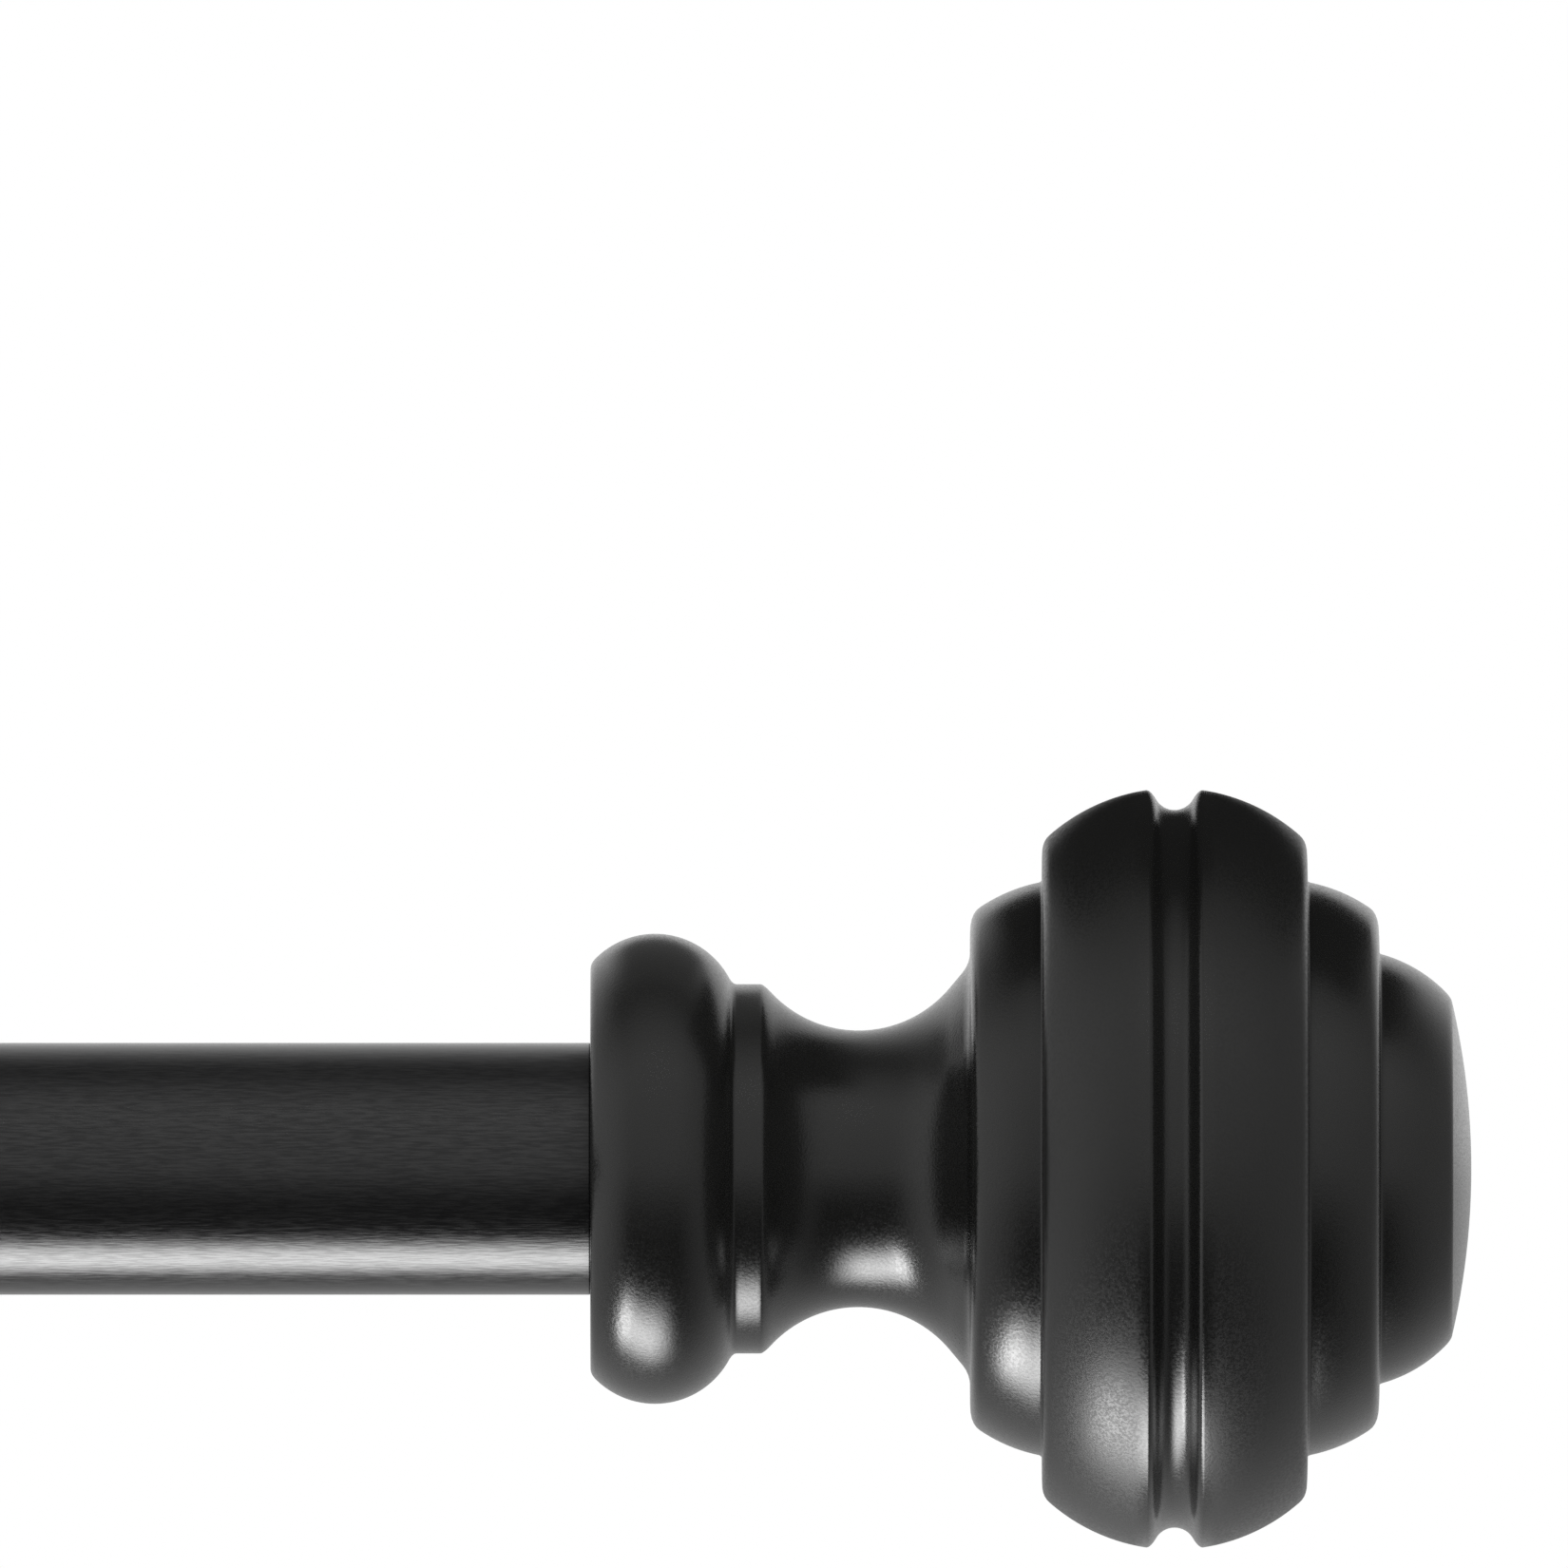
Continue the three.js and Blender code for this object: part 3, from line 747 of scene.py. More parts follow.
def add_thread(bm, core, crest, pitch, start, end):
    """Winds a ridge about Z between two stations."""
    root = core - 0.1
    corners = [(root, start), (crest, start + pitch / 2), (root, start + pitch * 0.9)]
    face = bm.faces.new([bm.verts.new((radius, 0, along)) for radius, along in corners])
    steps = int((end - start - pitch) / pitch * THREAD_STEPS)
    bmesh.ops.spin(
        bm, geom=[face, *face.edges, *face.verts], cent=(0, 0, 0), axis=(0, 0, 1),
        dvec=(0, 0, pitch / THREAD_STEPS), angle=math.tau * steps / THREAD_STEPS, steps=steps,
        use_merge=False, use_duplicate=False,
    )
    bmesh.ops.recalc_face_normals(bm, faces=bm.faces)
    return bm


def cross_recess(width, depth):
    """Two crossed, tapered blades that cut a cross recess in a head whose face is at 0."""
    blades = []
    for turn in (0, math.pi / 2):
        blade = bmesh.new()
        bmesh.ops.create_cube(blade, size=1)
        bmesh.ops.scale(blade, vec=(width, width / 4.5, 2 * depth), verts=blade.verts)
        tip = [v for v in blade.verts if v.co.z > 0]
        bmesh.ops.scale(blade, vec=(0.4, 0.7, 1), verts=tip)
        bmesh.ops.rotate(blade, cent=(0, 0, 0), matrix=Matrix.Rotation(turn, 3, "Z"), verts=blade.verts)
        blades.append(blade)
    return blades


def studding(span, radius, pitch, lead=0.6):
    """A length of threaded rod with a small point at each end."""
    core = radius - THREAD_DEPTH * pitch
    outline = [
        (0, 0), (0, core - lead / 2), (lead, core),
        (span - lead, core), (span, core - lead / 2), (span, 0),
    ]
    bm = turned(rounded(outline, 0.1), 32)
    return add_thread(bm, core, radius, pitch, lead / 2, span - lead / 2)


print("an M5 stud 20 mm long has", len(studding(20, 2.5, 0.8).faces), "faces")

# %% [markdown]
# ## Studs, nuts and plugs in the tube ends
#
# Each finial has an M6 stud cast into it, which screws into a nut held in a nylon plug in the tube's end.
# The nut's flats meet its faces in curved chamfers, because nuts are turned from hexagonal bar: so a prism
# is kept only where a turned disc crosses it.

# %% Finial studs, plugs and their nuts
M6 = {"radius": 3.0, "pitch": 1.0}
M5 = {"radius": 2.5, "pitch": 0.8}
CHAMFER_SLOPE = 0.58  # the tangent of a nut's 30 degree chamfer
HOLE_MOUTH = 0.35
NUT_ACROSS = 10.0
PLUG = {"lead": 1.2, "ribs": 4, "first_rib": 3.0, "rib_pitch": 3.6, "rib": 0.35, "face": 2.3}


def hex_nut(node, direction, across, hole, material):
    high = length(node, direction)
    corner = across / math.sqrt(3)
    flat = across / 2 - 0.05
    slope = (corner - flat) * CHAMFER_SLOPE
    disc = turned(
        [(0, 0), (0, flat), (slope, corner), (high - slope, corner), (high, flat), (high, 0)], 72,
    )
    blank = worked(prism(6, corner, 0, high, turn=math.pi / 2), [disc], "INTERSECT")
    wide = hole + HOLE_MOUTH + 1
    drill = turned([
        (-1, 0), (-1, wide), (HOLE_MOUTH, hole),
        (high - HOLE_MOUTH, hole), (high + 1, wide), (high + 1, 0),
    ], 32)
    bm = soften(worked(blank, [drill]), 0.06, segments=1)
    return turned_piece(node, direction, bm, material, sharp=25)


def end_plug(node, direction):
    """A plug that grips its tube by ribs, with a pocket for the nut behind a face that the stud passes."""
    end, top = length(node, direction), edge(node, UP) - rod_axis.z
    low = top - PLUG["rib"]
    ribs = ribbing(PLUG["ribs"], PLUG["first_rib"], PLUG["rib_pitch"], low, top, 0.6, 1.8)
    outline = [
        (0, 0), (0, low - 0.8), (PLUG["lead"], low), *ribs,
        (end - 0.8, top - 0.1), (end, top - 0.5), (end, 0),
    ]
    body = turned(rounded(outline, 0.15), 96)
    pocket = prism(6, (NUT_ACROSS + 0.3) / math.sqrt(3), -1, end - PLUG["face"], turn=math.pi / 2)
    hole = prism(32, M6["radius"] + 0.3, end - 3, end + 1)
    return turned_piece(node, direction, worked(body, [pocket, hole]), black_nylon)


for side, outward in (("right", RIGHT), ("left", LEFT)):
    stud = f"{side}_finial_stud"
    turned_piece(stud, outward, studding(length(stud, outward), **M6), zinc_plate)
    end_plug(f"{side}_tube_plug", outward)
    hex_nut(f"{side}_plug_nut", outward, NUT_ACROSS, STUD_HOLE["radius"], zinc_plate)

# %% [markdown]
# ## Wall plates
#
# The plate is pressed from 3 mm strip. Its front edge is rolled over by the press and its back edge stays
# crisp on the wall. A disc is split across its middle and the halves moved apart for the outline, and that
# is extruded. Only the front rim is bevelled wide. The two screw holes are cut last, so that their
# countersinks keep a clean edge.

# %% Wall plates
PLATE = {
    "steps": 96, "screw_spacing": 58.0, "hole": 2.7, "sink": 4.6, "rolled_edge": 0.9, "broken_edge": 0.15,
}


def wall_plate(side):
    node = f"{side}_wall_plate"
    width, height, thick = length(node, RIGHT), length(node, UP), length(node, TO_ROOM)
    bm = bmesh.new()
    half_a_step = Matrix.Rotation(math.tau / (2 * PLATE["steps"]), 4, "Z")
    bmesh.ops.create_circle(
        bm, cap_ends=True, segments=PLATE["steps"], radius=width / 2, matrix=half_a_step,
    )
    for sign in (-1, 1):
        half = [v for v in bm.verts if v.co.y * sign > 0 and abs(v.co.y) <= width / 2]
        bmesh.ops.translate(bm, vec=(0, sign * (height - width) / 2, 0), verts=half)
    top = bmesh.ops.extrude_face_region(bm, geom=bm.faces[:])["geom"]
    face = [v for v in top if isinstance(v, bmesh.types.BMVert)]
    bmesh.ops.translate(bm, vec=(0, 0, thick), verts=face)
    bmesh.ops.recalc_face_normals(bm, faces=bm.faces)
    middle_layer = thick / 2
    soften(
        bm, PLATE["rolled_edge"], segments=5,
        keep=lambda e: all(v.co.z > middle_layer for v in e.verts),
    )
    crisp, hole, sink = PLATE["broken_edge"], PLATE["hole"], PLATE["sink"]
    soften(bm, crisp, segments=1, keep=lambda e: all(v.co.z < middle_layer for v in e.verts))
    outline = [
        (-1, 0), (-1, hole), (thick - (sink - hole), hole),
        (thick - crisp, sink - crisp), (thick + 0.3, sink + 0.9), (thick + 1, 0),
    ]
    drills = []
    for sign in (-1, 1):
        drill = turned(outline, 48)
        bmesh.ops.translate(drill, vec=(0, sign * PLATE["screw_spacing"] / 2, 0), verts=drill.verts)
        drills.append(drill)
    return turned_piece(node, TO_ROOM, worked(bm, drills), bracket_finish, sharp=30)


for side in SIDES:
    wall_plate(side)

# %% [markdown]
# ## Wall screws and their anchors
#
# A countersunk wood screw has a conical head with a cross recess, a plain shank under it, and a coarse
# thread that runs out to a point. The thread is wound on a straight core first. Everything past the
# shoulder is then drawn in towards the axis, which points core and thread together. The anchor is a nylon
# sleeve with barbed rings, and it is split so that the screw can spread it.

# %% Wall screws and anchors
WOOD_SCREW = {
    "head": 3.9, "rim": 0.3, "head_depth": 2.15, "shank": 1.6, "plain": 8.0,
    "core": 1.2, "crest": 1.75, "pitch": 1.7, "point": 4.5,
}
ANCHOR = {
    "radius": 2.5, "bore": 1.9, "barbs": 6, "first_barb": 3.2, "barb_pitch": 3.6, "barb": 0.22,
    "slit_from": 9.0,
}


def wood_screw(node):
    s = WOOD_SCREW
    end = length(node, TO_WALL)
    outline = [
        (0, 0), (0, s["head"] - 0.1), (s["rim"], s["head"]), (s["head_depth"], s["shank"]),
        (s["plain"], s["shank"]), (s["plain"] + 0.8, s["core"]), (end, s["core"]), (end, 0),
    ]
    bm = worked(turned(rounded(outline, 0.15), 48), cross_recess(4.4, 1.6))
    add_thread(bm, s["core"], s["crest"], s["pitch"], s["plain"], end)
    for vert in bm.verts:
        left = end - vert.co.z
        if left < s["point"]:
            vert.co.xy *= max(left, 0) / s["point"]
    bmesh.ops.remove_doubles(bm, verts=[v for v in bm.verts if v.co.z > end - 0.01], dist=0.01)
    return turned_piece(node, TO_WALL, bm, black_oxide)


def wall_anchor(node):
    end, top, bore = length(node, TO_WALL), ANCHOR["radius"], ANCHOR["bore"]
    low = top - ANCHOR["barb"]
    barbs = ribbing(ANCHOR["barbs"], ANCHOR["first_barb"], ANCHOR["barb_pitch"], low, top, 0.4, 2.6)
    corners = [
        (0, bore), (0, top), (1.2, top), (1.6, low), *barbs,
        (end - 0.8, low), (end, bore + 0.2), (end, bore),
    ]
    slit = prism(4, 1.0, ANCHOR["slit_from"], end + 1, turn=math.pi / 4)
    bmesh.ops.scale(slit, vec=(0.35, 4, 1), verts=slit.verts)
    return turned_piece(node, TO_WALL, worked(turned(corners, 40, True), [slit]), grey_nylon)


for side in SIDES:
    for place in ("upper", "lower"):
        wood_screw(f"{side}_wall_screw_{place}")
        wall_anchor(f"{side}_wall_anchor_{place}")

# %% [markdown]
# ## Arm sockets
#
# The socket is a thick tube, flared at its foot and welded to the plate, with a short boss under it for the
# lock screw. The boss is spun about its own axis with a fillet at its base, and that base is then dropped
# onto the curve of the tube, which gives the soft line where two welded parts meet under a coat of powder.

# %% Bosses on curved walls
BOSS_EDGE = 0.3


def joined(bm, *others):
    """Adds closed shapes to a shape, as further shells of the same piece."""
    for other in others:
        mesh = bpy.data.meshes.new("bench_shell")
        other.to_mesh(mesh)
        other.free()
        bm.from_mesh(mesh)
        bpy.data.meshes.remove(mesh)
    return bm


def boss(radius, bore, root, surface, face, fillet, fall):
    """A boss about Z, bored at its face and root, on a wall that falls away by fall(co) from its top."""
    base = [(root, radius + fillet), (surface - 0.05, radius + fillet)]
    flare = arc(surface + fillet, radius + fillet, fillet, surface + 0.002, surface + fillet, 6, hollow=True)
    corners = [(surface + fillet, radius), (face, radius), (face, bore[0]), (surface, bore[0])]
    rim = rounded(corners, BOSS_EDGE)[1:]
    bm = turned([(root, bore[1])] + base + flare + rim, 72, closed=True)
    top = face - BOSS_EDGE
    for vert in bm.verts:
        if vert.co.xy.length > bore[1] + 0.1:
            share = min(1.0, max(0.0, (top - vert.co.z) / (top - surface)))
            vert.co.z -= share * fall(vert.co)
    return bm


print("helpers ready for", ", ".join(sorted(node for node in frame["nodes"] if "socket" in node)))

# %% [markdown]
# A weld is a row of small overlapping ripples, so the foot's rim is spun smooth and then waved in and out.
# The lock screw's hole is drilled through the tube before its boss is set over it.

# %% Sockets
BOLT_HOLE = 2.65  # the radius that clears an M5 screw
SOCKET = {"radius": 9.5, "bore": 7.3, "boss": 6.0, "boss_root": 8.4, "boss_face": 11.5, "fillet": 1.1}
WELD = {"ripples": 44, "height": 0.3}


def ripple(bm, low, high):
    """Waves the skin of a ring of weld in and out, between two stations."""
    for vert in bm.verts:
        if low[0] <= vert.co.z <= high[0] and vert.co.xy.length > low[1]:
            wave = abs(math.sin(WELD["ripples"] / 2 * math.atan2(vert.co.y, vert.co.x)))
            vert.co.xy *= 1 - WELD["height"] * (1 - wave) / high[1]
    return bm


def arm_socket(side):
    node = f"{side}_arm_socket"
    mouth, foot = length(node, TO_ROOM), length(node, RIGHT) / 2
    radius, bore = SOCKET["radius"], SOCKET["bore"]
    weld = arc(0.2, foot - 1.05, 1.03, 0.0, 1.2, 6) + [(1.3, foot - 1.3)]
    flare = arc(4.9, radius + 3.9, 3.9, 1.4, 4.9, 10, hollow=True)
    front = rounded([(mouth - 1.5, radius), (mouth, radius), (mouth, bore), (mouth - 1.5, bore)], 0.5, 4)
    bm = turned([(0, bore)] + weld + flare + front, WELD["ripples"] * 6, closed=True)
    lay(ripple(bm, (0.01, foot - 1.4), (1.35, foot)), TO_ROOM, near_end(node, TO_ROOM))
    lock = middle(f"{side}_lock_stud")
    axis_point = Vector((lock.x, lock.y, middle(node).z))
    bm = worked(bm, [lay(prism(32, BOLT_HOLE, 0, 2 * radius), DOWN, axis_point)])
    lug = boss(
        SOCKET["boss"], (BOLT_HOLE, BOLT_HOLE), SOCKET["boss_root"], radius, SOCKET["boss_face"],
        SOCKET["fillet"], lambda co: radius - math.sqrt(max(0.0, radius ** 2 - co.x ** 2)),
    )
    return finished(node, joined(bm, lay(lug, DOWN, axis_point)), bracket_finish, sharp=38)


for side in SIDES:
    arm_socket(side)

# %% [markdown]
# ## Arm bars and cradles
#
# The arm is a plain bar, chamfered at its rear and drilled at its front for the screw that holds the
# cradle. Bar stock is round and true as it comes, so one turned outline is the whole piece.

# %% Arm bars
ARM = {"radius": 7.0, "hole_depth": 15.0}


def arm_bar(side):
    node = f"{side}_arm_bar"
    end, radius = length(node, TO_ROOM), ARM["radius"]
    skin = rounded([(0, 0), (0, radius - 1), (1, radius), (end, radius), (end, BOLT_HOLE)], 0.35)
    bottom = end - ARM["hole_depth"]
    well = [(bottom, BOLT_HOLE), (bottom - 1.2, 0)]
    return turned_piece(node, TO_ROOM, turned(skin + well, 96), bracket_finish)


print("an arm bar is %.1f mm long" % length("right_arm_bar", TO_ROOM))

# %% [markdown]
# The cradle is bent from 3 mm strap: one rectangle is spun through half a turn about the rod's axis, and its
# two ends are drawn up into legs. The legs' corners are rounded first, and then every edge is softened
# together. A boss at the back takes the arm's screw, and one at the front takes the clamp screw.

# %% Cradles
MACHINE_SCREW = {"head": 4.6, "rim": 0.3, "head_depth": 2.1}
CRADLE = {
    "radius": 13.0, "wall": 3.0, "front_leg": 7.0, "leg_corner": 3.5, "edge": 0.9, "boss_root": 13.6,
    "rear_boss": 7.5, "rear_face": 19.0, "front_boss": 6.0, "front_face": 17.5,
}


def strap(half_width, front_top, rear_top):
    """The strap, bent about the rod's axis, with a leg on the room's side and one on the wall's side."""
    inner, outer = CRADLE["radius"], CRADLE["radius"] + CRADLE["wall"]
    bm = bmesh.new()
    section = [
        (-half_width, -outer, 0), (half_width, -outer, 0), (half_width, -inner, 0), (-half_width, -inner, 0),
    ]
    start = bm.faces.new([bm.verts.new(corner) for corner in section])
    bmesh.ops.spin(
        bm, geom=[start, *start.edges, *start.verts], cent=(0, 0, 0), axis=(1, 0, 0), dvec=(0, 0, 0),
        angle=math.pi, steps=40, use_merge=False, use_duplicate=False,
    )
    bmesh.ops.recalc_face_normals(bm, faces=bm.faces)
    for top, side in ((front_top, TO_ROOM), (rear_top, TO_WALL)):
        end = [
            f for f in bm.faces
            if all(abs(v.co.z) < 1e-3 for v in f.verts) and f.calc_center_median().dot(side) > 0
        ]
        raised = bmesh.ops.extrude_face_region(bm, geom=end)["geom"]
        bmesh.ops.delete(bm, geom=end, context="FACES_ONLY")
        verts = [v for v in raised if isinstance(v, bmesh.types.BMVert)]
        bmesh.ops.translate(bm, vec=(0, 0, top), verts=verts)
    bmesh.ops.recalc_face_normals(bm, faces=bm.faces)

    def across_a_leg_end(e):
        near, far = (v.co for v in e.verts)
        return min(near.z, far.z) > front_top - 0.01 and abs(near.y - far.y) > 1

    soften(bm, CRADLE["leg_corner"], segments=6, keep=across_a_leg_end)
    return soften(bm, CRADLE["edge"], angle=50, segments=4)


def cradle(side):
    node = f"{side}_cradle"
    c, hole = CRADLE, BOLT_HOLE
    inner, outer = c["radius"], c["radius"] + c["wall"]
    axis_height = outer - edge(node, DOWN)
    at = Vector((middle(node).x, rod_axis.y, axis_height))
    rear_leg = edge(node, UP) - axis_height
    bm = lay(strap(length(node, RIGHT) / 2, c["front_leg"], rear_leg), UP, at)
    head = MACHINE_SCREW["head"] + 0.15
    sink = turned([
        (0, 0), (0, head), (inner + 0.35, head),
        (inner + 2.45, hole), (outer + 2, hole), (outer + 2, 0),
    ], 48)
    tapped = prism(32, hole, 0, outer + 2)
    bm = worked(bm, [lay(sink, TO_WALL, at), lay(tapped, TO_ROOM, at)])
    rear = boss(
        c["rear_boss"], (hole, 5.3), c["boss_root"], outer, c["rear_face"], 0.4, lambda co: 0.0,
    )
    front = boss(
        c["front_boss"], (hole, hole), c["boss_root"], outer, c["front_face"], 0.8,
        lambda co: outer - math.sqrt(outer ** 2 - min(0.0, co.y) ** 2),
    )
    bm = joined(bm, lay(rear, TO_WALL, at), lay(front, TO_ROOM, at))
    return finished(node, bm, bracket_finish, sharp=38)


for side in SIDES:
    arm_bar(side)
    cradle(side)

# %% [markdown]
# ## Cradle screws, thumb screws and nuts
#
# A short countersunk machine screw holds each cradle to its arm. Each thumb screw is an M5 stud with a
# fluted nylon knob, and a lock nut under the knob. Flutes give fingers a grip. They are drawn as a wave
# round a finely spun rim, which keeps the knob one closed skin.

# %% Machine screws, studs and knobs
LOCK_NUT_ACROSS = 9.5
KNOB = {
    "radius": 7.0, "neck": 4.6, "neck_length": 1.2, "hole_depth": 6.7,
    "face": 5.3, "dish": 4.6, "dish_depth": 0.45, "flutes": 18, "flute_depth": 0.7, "flute_foot": 5.6,
}


def machine_screw(node):
    s = MACHINE_SCREW
    end, core = length(node, TO_WALL), M5["radius"] - THREAD_DEPTH * M5["pitch"]
    outline = [
        (0, 0), (0, s["head"] - 0.1), (s["rim"], s["head"]), (s["head_depth"], M5["radius"] - 0.1),
        (s["head_depth"] + 0.8, core), (end - 0.6, core), (end, core - 0.5), (end, 0),
    ]
    bm = worked(turned(rounded(outline, 0.12), 48), cross_recess(5.0, 1.5))
    add_thread(bm, core, M5["radius"], M5["pitch"], s["head_depth"] + 0.4, end - 0.3)
    return turned_piece(node, TO_WALL, bm, black_oxide)


def knob(node, direction):
    end, k = length(node, direction), KNOB
    floor = end - k["dish_depth"]
    outline = [
        (k["hole_depth"], 0), (k["hole_depth"], BOLT_HOLE), (0, BOLT_HOLE), (0, k["neck"]),
        (k["neck_length"], k["neck"]), (k["neck_length"] + 0.1, k["radius"]), (end, k["radius"]),
        (end, k["face"]), (floor, k["dish"]), (floor, 0),
    ]
    bm = turned(rounded(outline, 0.7, 5), k["flutes"] * 10)
    for vert in bm.verts:
        radius = vert.co.xy.length
        share = (radius - k["flute_foot"]) / (k["radius"] - k["flute_foot"])
        if share > 0:
            wave = 0.5 + 0.5 * math.cos(k["flutes"] * math.atan2(vert.co.y, vert.co.x))
            vert.co.xy *= 1 - k["flute_depth"] * share * wave ** 1.6 / radius
    return turned_piece(node, direction, bm, black_nylon, sharp=50)


for side in SIDES:
    machine_screw(f"{side}_cradle_screw")
    for job, direction in (("lock", DOWN), ("clamp", TO_ROOM)):
        stud = f"{side}_{job}_stud"
        turned_piece(stud, direction, studding(length(stud, direction), **M5), zinc_plate)
        knob(f"{side}_{job}_knob", direction)
        hex_nut(f"{side}_{job}_nut", direction, LOCK_NUT_ACROSS, BOLT_HOLE, bracket_finish)

# %% [markdown]
# ## The studio
#
# Gloss black is drawn by what it mirrors, far more than by lamps. A round bar seen square on mirrors the
# room in a wide sweep: its middle mirrors what is behind the camera, and points halfway to its edges mirror
# what is straight above and below. So the room is planned for its reflections, with white walls, a darker
# side below the camera, and a long soft light lying low under the rod.

# %% World: a white room with a dark side
ROOM_TONES = (
    (0.0, "cdcdcd"), (0.06, "c4c4c4"), (0.143, "c5c5c5"), (0.2, "a4a4a4"), (0.25, "707070"),
    (0.333, "242424"), (0.37, "151515"), (0.403, "202020"), (0.436, "5a5a5a"), (0.468, "8f8f8f"),
    (0.5, "b7b7b7"), (0.572, "c2c2c2"), (0.653, "cdcdcd"), (0.705, "aeaeae"), (0.747, "7d7d7d"),
    (0.775, "5e5e5e"), (0.806, "6c6c6c"), (0.836, "959595"), (0.872, "c7c7c7"), (0.899, "dedede"),
    (0.936, "f1f1f1"), (1.0, "dcdcdc"),
)
END_WALLS = (("e6e6e6", -0.55, -0.95), ("a4a4a4", 0.5, 0.95))
ROOM_FILL = 0.4  # the room's light on what isn't glossy, as a share of white


def white_room():
    world = bpy.data.worlds.new("white_room")
    tree = bare_tree(world)
    outward = (add_node(tree, "ShaderNodeTexCoord"), "Generated")
    way = add_node(tree, "ShaderNodeSeparateXYZ", links={"Vector": outward})
    into_room = add_node(tree, "ShaderNodeMath", {"operation": "MULTIPLY", 1: -1.0}, {0: (way, "Y")})
    climb = add_node(tree, "ShaderNodeMath", {"operation": "ARCTAN2"}, {0: (way, "Z"), 1: into_room})
    turn = add_node(
        tree, "ShaderNodeMapRange", {"From Min": -math.pi, "From Max": math.pi}, {"Value": climb},
    )
    tones = add_node(tree, "ShaderNodeValToRGB", links={"Fac": turn})
    ramp = tones.color_ramp
    ramp.elements.remove(ramp.elements[0])
    for place, code in ROOM_TONES:
        ramp.elements.new(place).color = linear(code)
    ramp.elements.remove(ramp.elements[-1])
    walls = tones
    for code, near, far in END_WALLS:
        share = add_node(
            tree, "ShaderNodeMapRange", {"From Min": near, "From Max": far}, {"Value": (way, "X")},
        )
        walls = add_node(
            tree, "ShaderNodeMix", {"data_type": "RGBA", "B": linear(code)}, {"Factor": share, "A": walls},
        )
    ray = add_node(tree, "ShaderNodeLightPath")
    mirrored = add_node(
        tree, "ShaderNodeMix", {"data_type": "RGBA", "A": linear("ffffff")},
        {"Factor": (ray, "Is Glossy Ray"), "B": walls},
    )
    straight = add_node(
        tree, "ShaderNodeMath", {"operation": "ADD"},
        {0: (ray, "Is Camera Ray"), 1: (ray, "Is Transmission Ray")},
    )
    shown = add_node(
        tree, "ShaderNodeMath", {"operation": "ADD", "use_clamp": True},
        {0: straight, 1: (ray, "Is Glossy Ray")},
    )
    room = add_node(tree, "ShaderNodeBackground", {"Strength": 1.0}, {"Color": mirrored})
    fill = add_node(tree, "ShaderNodeBackground", {"Color": linear("ffffff"), "Strength": ROOM_FILL})
    lit = add_node(tree, "ShaderNodeMixShader", links={0: shown, 1: fill, 2: room})
    add_node(tree, "ShaderNodeOutputWorld", links={"Surface": lit})
    bpy.context.scene.world = world


white_room()
print("room tones:", len(ROOM_TONES))

# %% [markdown]
# A few cards shape the reflections, and light nothing else. The long light is a glowing card far below,
# facing up, and brighter towards its left end. Two small dark cards hang just over the finial, one over the
# bead and one over the ball. They are painted reflection and shade: they darken the tops of the bead and
# ball as a second rod hung close above would, and the scene has no such rod. A sharp edge would draw a hard
# line on a gloss surface, so each card fades out across each of its edges: half of it is left at the edge,
# and nothing at the fade's own width beyond.

# %% Cards seen only in reflections
# An edge is its axis, its side, where half of the card is left, and how wide it fades, in metres.
CARDS = {
    "low_light": {
        "height": -4.0, "tone": "ffffff",
        "edges": (
            ("X", -1, -2.75, 0.28), ("X", 1, 0.6, 1.0), ("Y", -1, -0.93, 1.0), ("Y", 1, 0.98, 0.95),
        ),
        "power": {"left": 20.0, "right": 12.5, "join": -1.92, "blend": 0.3},
    },
    # painted reflection: a grey card that only gloss sees, darkening the bead's top in place of a second rod
    "dark_reflection_card_bead": {
        "height": 0.03, "tone": "757575",
        "edges": (
            ("X", -1, -0.002, 0.004), ("X", 1, 0.019, 0.004),
            ("Y", -1, -0.0095, 0.004), ("Y", 1, 0.012, 0.005),
        ),
    },
    # painted reflection: a dark card that only gloss sees, darkening the ball's top in place of a second rod
    "dark_reflection_card_ball": {
        "height": 0.042, "tone": "262626",
        "edges": (
            ("X", -1, 0.029, 0.006), ("X", 1, 0.098, 0.008),
            ("Y", -1, -0.0225, 0.004), ("Y", 1, 0.023, 0.006),
        ),
    },
}


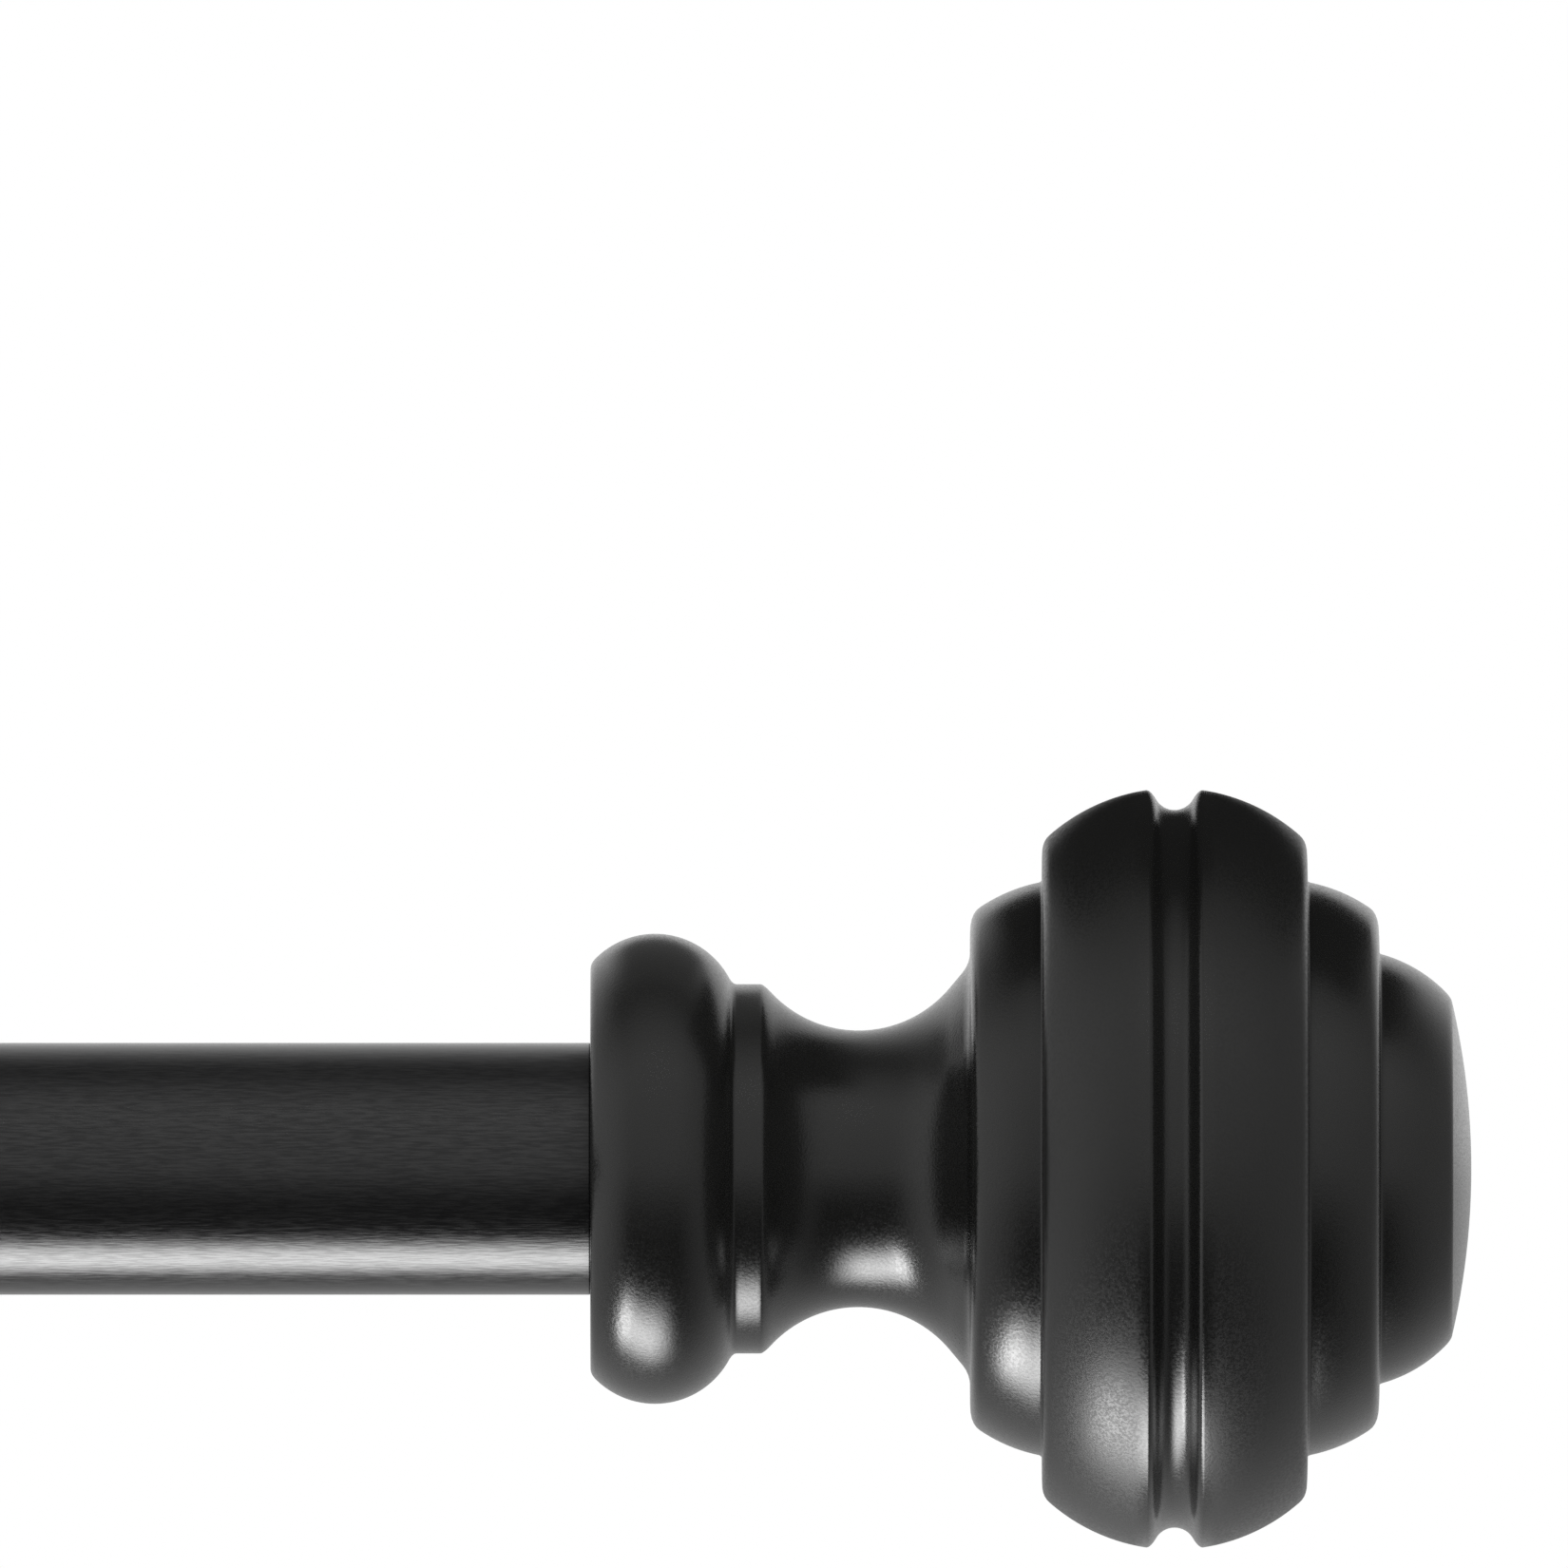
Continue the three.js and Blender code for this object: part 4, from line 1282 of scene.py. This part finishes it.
def card_material(name, card):
    """A glow that fades out at the card's edges. A card with a power glows on its upper side only."""
    material = bpy.data.materials.new(name)
    tree = bare_tree(material)
    point = (add_node(tree, "ShaderNodeTexCoord"), "Object")
    place = add_node(tree, "ShaderNodeSeparateXYZ", links={"Vector": point})
    shown = None
    for axis, outward, half, reach in card["edges"]:
        fade = add_node(
            tree, "ShaderNodeMapRange",
            {"interpolation_type": "SMOOTHSTEP",
             "From Min": half + outward * reach, "From Max": half - outward * reach},
            {"Value": (place, axis)},
        )
        if shown:
            fade = add_node(tree, "ShaderNodeMath", {"operation": "MULTIPLY"}, {0: shown, 1: fade})
        shown = fade
    glow = add_node(tree, "ShaderNodeEmission", {"Color": linear(card["tone"]), "Strength": 1.0})
    if "power" in card:
        step = card["power"]
        power = add_node(
            tree, "ShaderNodeMapRange",
            {"interpolation_type": "SMOOTHSTEP", "From Min": step["join"] - step["blend"],
             "From Max": step["join"] + step["blend"], "To Min": step["left"], "To Max": step["right"]},
            {"Value": (place, "X")},
        )
        connect(tree, glow, {"Strength": power})
        back = (add_node(tree, "ShaderNodeNewGeometry"), "Backfacing")
        front = add_node(tree, "ShaderNodeMath", {"operation": "SUBTRACT", 0: 1.0}, {1: back})
        shown = add_node(tree, "ShaderNodeMath", {"operation": "MULTIPLY"}, {0: shown, 1: front})
    clear = add_node(tree, "ShaderNodeBsdfTransparent")
    faded = add_node(tree, "ShaderNodeMixShader", links={0: shown, 1: clear, 2: glow})
    add_node(tree, "ShaderNodeOutputMaterial", links={"Surface": faded})
    return material


print("cards:", ", ".join(CARDS))

# %% [markdown]
# Each card is one flat face, measured from the point where the finial meets its tube. It is part of the
# stage, and only glossy rays see it.

# %% Hanging the cards
finial_root = Vector((-edge("right_finial", LEFT), rod_axis.y, rod_axis.z)) * MM


def hang_card(name, card):
    """A flat card over or under the finial's base, that shows in reflections alone."""
    spans = {
        axis: [half + outward * reach for on, outward, half, reach in card["edges"] if on == axis]
        for axis in "XY"
    }
    corners = zip(spans["X"] + spans["X"][::-1], sorted(spans["Y"] * 2))
    bm = bmesh.new()
    bm.faces.new([bm.verts.new((x, y, 0)) for x, y in corners])
    obj = on_bench(bm, name)
    obj.location = finial_root + Vector((0, 0, card["height"]))
    obj.visible_camera = obj.visible_diffuse = obj.visible_shadow = obj.visible_transmission = False
    obj.data.materials.append(card_material(name, card))
    print(name, "from", spans)


for name, card in CARDS.items():
    hang_card(name, card)

# %% [markdown]
# A broad soft key from above the camera lights what isn't glossy, and lays the shadow on the floor.

# %% Key light
def soft_key(size, place, aim, radiance):
    """A rectangular area lamp of even radiance that lights everything but reflections."""
    light = bpy.data.lights.new("soft_key", "AREA")
    light.shape = "RECTANGLE"
    light.size, light.size_y = size
    light.energy = radiance * math.pi * size[0] * size[1]
    obj = bpy.data.objects.new("soft_key", light)
    bpy.context.scene.collection.objects.link(obj)
    obj.location = place
    obj.rotation_euler = (Vector(aim) - Vector(place)).to_track_quat("-Z", "Y").to_euler()
    obj.visible_camera = obj.visible_glossy = obj.visible_transmission = False
    print("soft key: %.0f W" % light.energy)


soft_key(size=(2.7, 1.8), place=(0.45, -3.3, 3.9), aim=(-0.2, 0, 0), radiance=16.0)  # metres

# %% [markdown]
# ## Floor and camera
#
# The floor is a wide pale disc under the rod, of milky acrylic with a little light from underneath, so that
# it keeps a shadow but is otherwise white. It fades out at its rim, so no horizon shows, and it is clear
# when seen from below, because a rod is also looked at from there.

# %% Floor
FLOOR = {"drop": 0.25, "radius": 4.5, "solid": 1.5, "glow": 0.2}  # metres, and the glow as a share of white


def pale_floor():
    material, tree, shader, place = new_material("milky_acrylic")
    mottle = add_node(tree, "ShaderNodeTexNoise", {"Scale": 3.0, "Detail": 4.0}, {"Vector": place})
    tone = add_node(
        tree, "ShaderNodeMix", {"data_type": "RGBA", "A": linear("f0f0ef"), "B": linear("f8f8f7")},
        {"Factor": mottle},
    )
    connect(tree, shader, {"Base Color": tone})
    shader.inputs["Roughness"].default_value = 0.8
    shader.inputs["Emission Color"].default_value = linear("ffffff")
    shader.inputs["Emission Strength"].default_value = FLOOR["glow"]
    reach = add_node(tree, "ShaderNodeVectorMath", {"operation": "LENGTH"}, {"Vector": place})
    faded = add_node(
        tree, "ShaderNodeMapRange",
        {"interpolation_type": "SMOOTHSTEP", "From Min": FLOOR["solid"], "From Max": FLOOR["radius"]},
        {"Value": (reach, "Value")},
    )
    back = (add_node(tree, "ShaderNodeNewGeometry"), "Backfacing")
    hidden = add_node(tree, "ShaderNodeMath", {"operation": "MAXIMUM"}, {0: faded, 1: back})
    clear = add_node(tree, "ShaderNodeBsdfTransparent")
    surface = add_node(tree, "ShaderNodeMixShader", links={0: hidden, 1: shader, 2: clear})
    connect(tree, tree.nodes["Material Output"], {"Surface": surface})
    return material


bm = bmesh.new()
bmesh.ops.create_circle(bm, cap_ends=True, segments=96, radius=FLOOR["radius"])
floor = on_bench(bm, "floor")
floor.location = (0, 0, -FLOOR["drop"])
floor.data.materials.append(pale_floor())
floor.visible_glossy = False
floor.visible_shadow = False
print("floor at z", floor.location.z)

# %% [markdown]
# The camera stands well back with a long lens, level and square to the rod, so that nearly parallel lines
# reach it from both sides of the finial. It frames the right finial and the end of its tube.

# %% Camera
CAMERA_DISTANCE = 7.0  # metres
VIEW_WIDTH = 158.1 * MM  # across the frame, in the plane of the rod's axis
FRAME_MIDDLE = {"along": 19.5, "up": 38.8}  # mm from the finial's base

camera = bpy.data.objects.new("camera", bpy.data.cameras.new("camera"))
bpy.context.scene.collection.objects.link(camera)
camera.data.sensor_width = 36.0
camera.data.lens = camera.data.sensor_width * CAMERA_DISTANCE / VIEW_WIDTH
offset = Vector((FRAME_MIDDLE["along"] * MM, -CAMERA_DISTANCE, FRAME_MIDDLE["up"] * MM))
camera.location = finial_root + offset
camera.rotation_euler = (math.pi / 2, 0, 0)
bpy.context.scene.camera = camera
bpy.context.scene.view_settings.view_transform = "Standard"
print("lens %.0f mm" % camera.data.lens)
